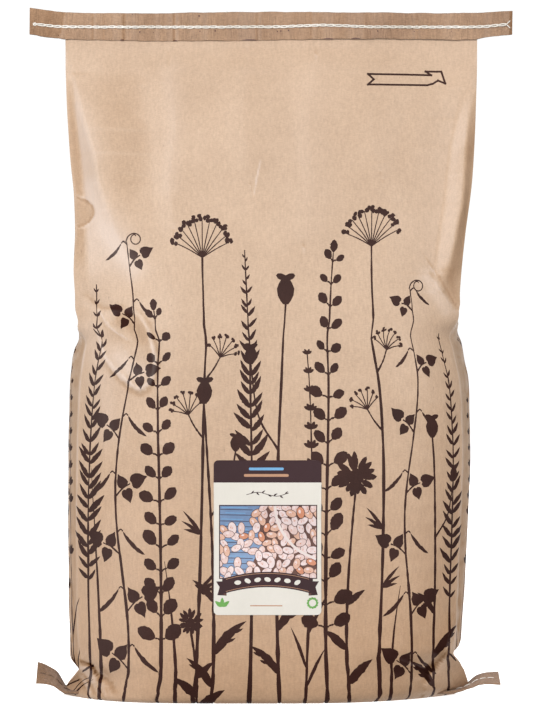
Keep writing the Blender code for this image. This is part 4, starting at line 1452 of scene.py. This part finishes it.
def make_top_tape():
    """The folded paper tape over the mouth: an outer and an inner skin, open along its foot."""
    rows = []
    shares = np.concatenate([np.linspace(0, 0.86, 13), np.linspace(0.9, 1.0, 4)])
    for x in np.arange(-TAPE_HALF, TAPE_HALF + 0.1, TAPE_STEP):
        x = float(np.clip(x, -TAPE_HALF, TAPE_HALF))
        low = float(curve(TAPE_LOWER, x)) + 0.28 * float(wave(x, 9, 2)) + 0.18 * float(wave(x, 3.1, 3))
        high = float(curve(TAPE_UPPER, x)) - 0.35 + 0.3 * float(wave(x, 14, 4)) + 0.12 * float(wave(x, 4, 5))
        stitch = float(curve(STITCH_HEIGHT, x))
        out = float(tape_out(x))
        bend = tape_bend(x)
        beat = 0.5 + 0.5 * math.cos(2 * math.pi * x / PITCH)
        outer, inner = [], []
        for side in (-1, 1):
            line_out, line_in = [], []
            for t in shares:
                z = low + (high - low) * t
                r = out * math.sqrt(max(1 - max((t - 0.93) / 0.07, 0) ** 2, 0)) if t > 0.93 else out
                pinch = math.exp(-(((z - stitch) / 2.3) ** 2)) * (0.22 + 0.2 * beat)
                flare = (1 - t) ** 3 * (0.35 + 0.55 * max(float(wave(x, 22, 6 if side < 0 else 7)), -0.3))
                lump = 0.16 * float(wave(x + side * 300, 7, 8)) * (1 - abs(2 * t - 1) ** 3)
                y = r - pinch * min(1, r) + flare + lump * min(1, r)
                tail = max(abs(x) - 180, 0) / 21
                y += tail * 0.5 * (1 - t) ** 2 * (1.3 if side > 0 else 0.4)
                line_out.append((x, side * y + bend * (1 - t), z))
                thick = min(0.5, y * 0.9)
                under = z - (0.5 if t > 0.97 else 0)
                line_in.append((x, side * max(y - thick, 0.05) + bend * (1 - t), under))
            outer.append(line_out)
            inner.append(line_in)
        ring = outer[0] + outer[1][::-1][1:] + inner[1] + inner[0][::-1][1:]
        rows.append(np.array(ring))
    return strip_mesh("top_tape_paper", rows, TAPE, tone=tape_tone, marks=tape_marks(rows))


def tube(points, radius, sides=6):
    """Points and faces of a thread along a line, with closed ends."""
    p = np.array(points, float)
    t = np.gradient(p, axis=0)
    t /= np.maximum(np.linalg.norm(t, axis=1, keepdims=True), 1e-9)
    up = np.array([0.0, 1.0, 0.15])
    a = np.cross(t, up)
    a /= np.maximum(np.linalg.norm(a, axis=1, keepdims=True), 1e-9)
    b = np.cross(t, a)
    radius = np.broadcast_to(np.asarray(radius, float), (len(p),))
    made, faces = [], []
    for k in range(sides):
        q = 2 * math.pi * k / sides
        made.append(p + radius[:, None] * (a * math.cos(q) + b * math.sin(q)))
    made = np.stack(made, axis=1).reshape(-1, 3)
    for i in range(len(p) - 1):
        for k in range(sides):
            m = (k + 1) % sides
            faces.append((i * sides + k, i * sides + m, (i + 1) * sides + m, (i + 1) * sides + k))
    faces.append(tuple(range(sides))[::-1])
    faces.append(tuple((len(p) - 1) * sides + k for k in range(sides)))
    return made, faces


def threads(name, lines, dark_from=None):
    """One mesh of many threads, each a line, its radius and its sides. Those left of an X are dark
    brown."""
    points, faces, slots = [], [], []
    for line, radius, sides in lines:
        made, more = tube(line, radius, sides)
        start = sum(len(q) for q in points)
        points.append(made)
        faces += [tuple(i + start for i in face) for face in more]
        slots += [int(dark_from is not None and line[0][0] < dark_from)] * len(more)
    materials = [THREAD] if dark_from is None else [THREAD, BROWN]
    return mesh_of(name, np.concatenate(points), faces, slots, materials, 60)


def chain_lines(frame_at, start, end, size=1.0, seed=5):
    """Loops of a chain stitch along a seam. frame_at gives a point, its across and its outward direction."""
    rng = np.random.default_rng(seed)
    lines = []
    count = int((end - start) / PITCH)
    for i in range(count):
        x0 = start + i * PITCH
        line = []
        lean = rng.uniform(-0.12, 0.12)
        for q in np.linspace(0.04, 0.96, 17):
            turn = 2 * math.pi * q
            along_x = 0.5 * (1 - math.cos(turn))
            across = size * (0.92 * math.sin(turn) * (0.40 + 0.60 * along_x) + lean)
            out = size * (0.50 + 0.55 * along_x + 0.22 * math.sin(turn))
            point, side, away = frame_at(x0 + along_x * PITCH * 1.30)
            line.append(point + side * across + away * out)
        lines.append((line, 0.53 * size, 7))
    return lines


def chain_ends(frame_at, start, end):
    """The knot that begins the top chain and the two cut tails that end it."""
    lines = []
    point, side, away = frame_at(start)
    right = np.array([1.0, 0.0, 0.0])
    for turn_on, size in ((0.0, 1.25), (1.1, 0.95)):
        ring = []
        for q in np.linspace(0, 1, 15):
            a = 2 * math.pi * q + turn_on
            flat_at = point + right * size * math.cos(a) + side * size * 0.8 * math.sin(a)
            ring.append(flat_at + away * (0.7 + 0.25 * math.sin(2 * a)))
        lines.append((ring, 0.50, 7))
    point, side, away = frame_at(end)
    for rise in (3.1, -2.9):
        tail = []
        for q in np.linspace(-0.3 if rise < 0 else 0, 1, 7).clip(0, 1) + np.arange(7) * 1e-4:
            out = away * (0.6 + 0.3 * math.sin(3 * q))
            tail.append(point + right * (3.4 * q) + side * (rise * q**1.2) + out)
        lines.append((tail, 0.42, 7))
    return lines


def dash_lines(frame_at, start, end, radius=0.36):
    """The needle thread's short stitches on the other side of a seam."""
    lines = []
    for i in range(int((end - start) / PITCH)):
        line = []
        for q in np.linspace(0, 1, 7):
            point, side, away = frame_at(start + (i + 0.10 + 0.80 * q) * PITCH)
            out = away * (0.42 * math.sin(math.pi * q) - 0.12)
            line.append(point + out + side * 0.10 * math.sin(i * 2.3))
        lines.append((line, radius, 6))
    return lines


def top_frame(toward):
    """Places the stitch line of the top seam, on its front (-1) or back (1)."""
    def at(x):
        stitch = float(curve(STITCH_HEIGHT, x))
        low, high = float(curve(TAPE_LOWER, x)), float(curve(TAPE_UPPER, x))
        bend = tape_bend(x) * (high - stitch) / (high - low)
        y = toward * (float(tape_out(x)) - 0.30) + bend
        return np.array([x, y, stitch]), np.array([0.0, 0.0, 1.0]), np.array([0.0, float(toward), 0.0])
    return at


def seam_point(x, across, up):
    """A point of the bottom seam: across is toward the back, up is off the floor."""
    turn = math.radians(float(curve(SEAM_TURN, x)))
    lift = float(curve(SEAM_LIFT, x))
    a, u = across - SEAM_MIDDLE, up - SEAM_LEVEL
    y = SEAM_MIDDLE + a * math.cos(turn) + u * math.sin(turn)
    z = SEAM_LEVEL + lift - a * math.sin(turn) + u * math.cos(turn)
    return np.array([x, y, z])


def seam_frame(above):
    """Places the stitch line of the bottom seam, above it (True) or under it."""
    def at(x):
        half = float(np.interp(x, (-180, -168, 150, 166), (0.75, 1.15, 1.15, 0.75)))
        level = SEAM_LEVEL + (half if above else -half)
        here, ahead = seam_point(x, SEAM_MIDDLE, level), seam_point(x, SEAM_MIDDLE + 1, level)
        away = seam_point(x, SEAM_MIDDLE, level + (1 if above else -1)) - here
        return here, ahead - here, away
    return at


def make_bottom_tape():
    """The tape folded over the bottom seam, with its leaves a little apart at the tails."""
    rows = []
    left, right = SEAM_ENDS
    ends = (np.arange(left, -166, 1.0), np.arange(140, right + 0.1, 1.0))
    for x in np.concatenate([ends[0], np.arange(-166, 140, 3.0), ends[1]]):
        half = float(np.interp(x, (-180, -168, 150, 166), (0.72, 1.2, 1.2, 0.72)))
        tail = max((-172 - x) / 22, 0) + max((x - 162) / 27, 0)
        outer, inner = [], []
        for side in (1, -1):
            line_out, line_in = [], []
            for t in np.concatenate([np.linspace(0, 0.88, 10), [0.93, 0.965, 0.985, 1.0]]):
                across = SEAM_BACK + (SEAM_FRONT - SEAM_BACK) * t
                across += 0.35 * float(wave(x + side * 70, 8, 12)) * (1 - t)
                r = half * math.sqrt(max(1 - max((t - 0.93) / 0.07, 0) ** 2, 0)) if t > 0.93 else half
                beat = 0.7 + 0.3 * math.cos(2 * math.pi * x / PITCH)
                pinch = 0.28 * math.exp(-(((t - 0.5) * 23 / 2.2) ** 2)) * beat
                splay = tail * (1 - t) ** 1.5 * (1.6 if side < 0 else 0.5)
                splay += 0.12 * float(wave(x + side * 40, 5, 13))
                y = max(r - pinch * min(1, r) + splay * min(1, r), 0.06)
                line_out.append(seam_point(x, across, SEAM_LEVEL + side * y))
                inside = max(y - min(0.42, y * 0.8), 0.03)
                line_in.append(seam_point(x, across, SEAM_LEVEL + side * inside))
            outer.append(line_out)
            inner.append(line_in)
        ring = outer[0] + outer[1][::-1][1:] + inner[1] + inner[0][::-1][1:]
        rows.append(np.array(ring))
    return strip_mesh("bottom_tape_paper", rows, SEAM_TAPE)


def finish_piece(piece, slot, *nodes):
    """Ties a piece to the frame."""
    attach(piece, "root")
    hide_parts(*nodes)


finish_piece(make_label(), "label_paper", "label")
finish_piece(make_top_tape(), "tape_paper", "top_tape")
chain = chain_lines(top_frame(-1), -196, 194) + chain_ends(top_frame(-1), -196.6, 195.6)
finish_piece(threads("top_chain_thread", chain), "thread", "top_chain")
finish_piece(threads("top_stitch_thread", dash_lines(top_frame(1), -197, 196)), "thread", "top_stitches")
finish_piece(make_bottom_tape(), "seam_tape_paper", "bottom_tape")
left_end, right_end = SEAM_ENDS
under = chain_lines(seam_frame(False), left_end + 2, right_end - 4, 0.8, 6)
finish_piece(threads("bottom_chain_thread", under), "thread", "bottom_chain")
over = dash_lines(seam_frame(True), left_end + 2, right_end - 4, 0.3)
finish_piece(threads("bottom_stitch_thread", over, -168.0), "thread", "bottom_stitches")


FLOOR_GLOW = 0.85
BOUNCE_LEVEL, HORIZON_LEVEL, SKY_LEVEL = 0.55, 1.05, 0.30
KEY_POWER, FILL_POWER, BACK_POWER = 128.0, 58.0, 120.0


def area_light(name, place_at, aim, size, power, colour=(1, 1, 1)):
    """A soft rectangular light that faces a point."""
    data = bpy.data.lights.new(name, "AREA")
    data.shape = "RECTANGLE"
    data.size, data.size_y = size
    data.energy = power
    data.color = colour
    made = bpy.data.objects.new(name, data)
    made.location = place_at
    made.rotation_euler = (Vector(aim) - Vector(place_at)).to_track_quat("-Z", "Y").to_euler()
    bpy.context.scene.collection.objects.link(made)


def make_studio():
    """A pale floor that glows a little, a bright horizon, soft light and the camera."""
    floor_data = bpy.data.meshes.new("floor")
    floor_data.from_pydata([(-60, -60, 0), (60, -60, 0), (60, 60, 0), (-60, 60, 0)], [], [(0, 1, 2, 3)])
    floor = bpy.data.objects.new("floor", floor_data)
    bpy.context.scene.collection.objects.link(floor)
    pale = bpy.data.materials.new("floor_pale")
    pale.use_nodes = True
    surface_in = pale.node_tree.nodes["Principled BSDF"].inputs
    surface_in["Base Color"].default_value = (0.86, 0.86, 0.86, 1)
    surface_in["Roughness"].default_value = 0.9
    surface_in["Specular IOR Level"].default_value = 0.1
    surface_in["Emission Color"].default_value = (1, 1, 1, 1)
    surface_in["Emission Strength"].default_value = FLOOR_GLOW
    floor_data.materials.append(pale)
    floor.visible_diffuse = False
    world = bpy.data.worlds.new("studio")
    world.use_nodes = True
    tree = world.node_tree
    where = node(tree, "ShaderNodeTexCoord")
    split = node(tree, "ShaderNodeSeparateXYZ")
    up = node(tree, "ShaderNodeMapRange")
    up.inputs["From Min"].default_value = -1.0
    up.inputs["From Max"].default_value = 1.0
    ramp = node(tree, "ShaderNodeValToRGB")
    stops = ((0.48, BOUNCE_LEVEL), (0.495, HORIZON_LEVEL), (0.57, HORIZON_LEVEL), (0.63, SKY_LEVEL))
    stops_in = ramp.color_ramp.elements
    for place_on, level in stops[2:]:
        stops_in.new(place_on)
    for stop, (place_on, level) in zip(stops_in, stops):
        stop.position = place_on
        stop.color = (level, level, level, 1)
    tree.links.new(where.outputs["Generated"], split.inputs["Vector"])
    tree.links.new(split.outputs["Z"], up.inputs["Value"])
    tree.links.new(up.outputs["Result"], ramp.inputs["Fac"])
    tree.links.new(ramp.outputs["Color"], tree.nodes["Background"].inputs["Color"])
    bpy.context.scene.world = world
    area_light("key", (-1.9, -3.2, 2.3), (0, 0, 0.30), (0.9, 0.9), KEY_POWER)
    area_light("fill", (2.0, -3.2, 1.9), (0, 0, 0.30), (1.1, 1.1), FILL_POWER)
    area_light("back", (0.5, 3.6, 2.5), (0, 0, 0.30), (1.1, 1.1), BACK_POWER)
    bpy.context.scene.view_settings.view_transform = "Standard"
    camera_data = bpy.data.cameras.new("camera")
    camera_data.sensor_width = 36
    camera_data.lens = 133.4
    camera = bpy.data.objects.new("camera", camera_data)
    camera.location = (-0.0039, -2.2, 0.281)
    camera.rotation_euler = (math.radians(90), 0, 0)
    bpy.context.scene.collection.objects.link(camera)
    bpy.context.scene.camera = camera


make_studio()
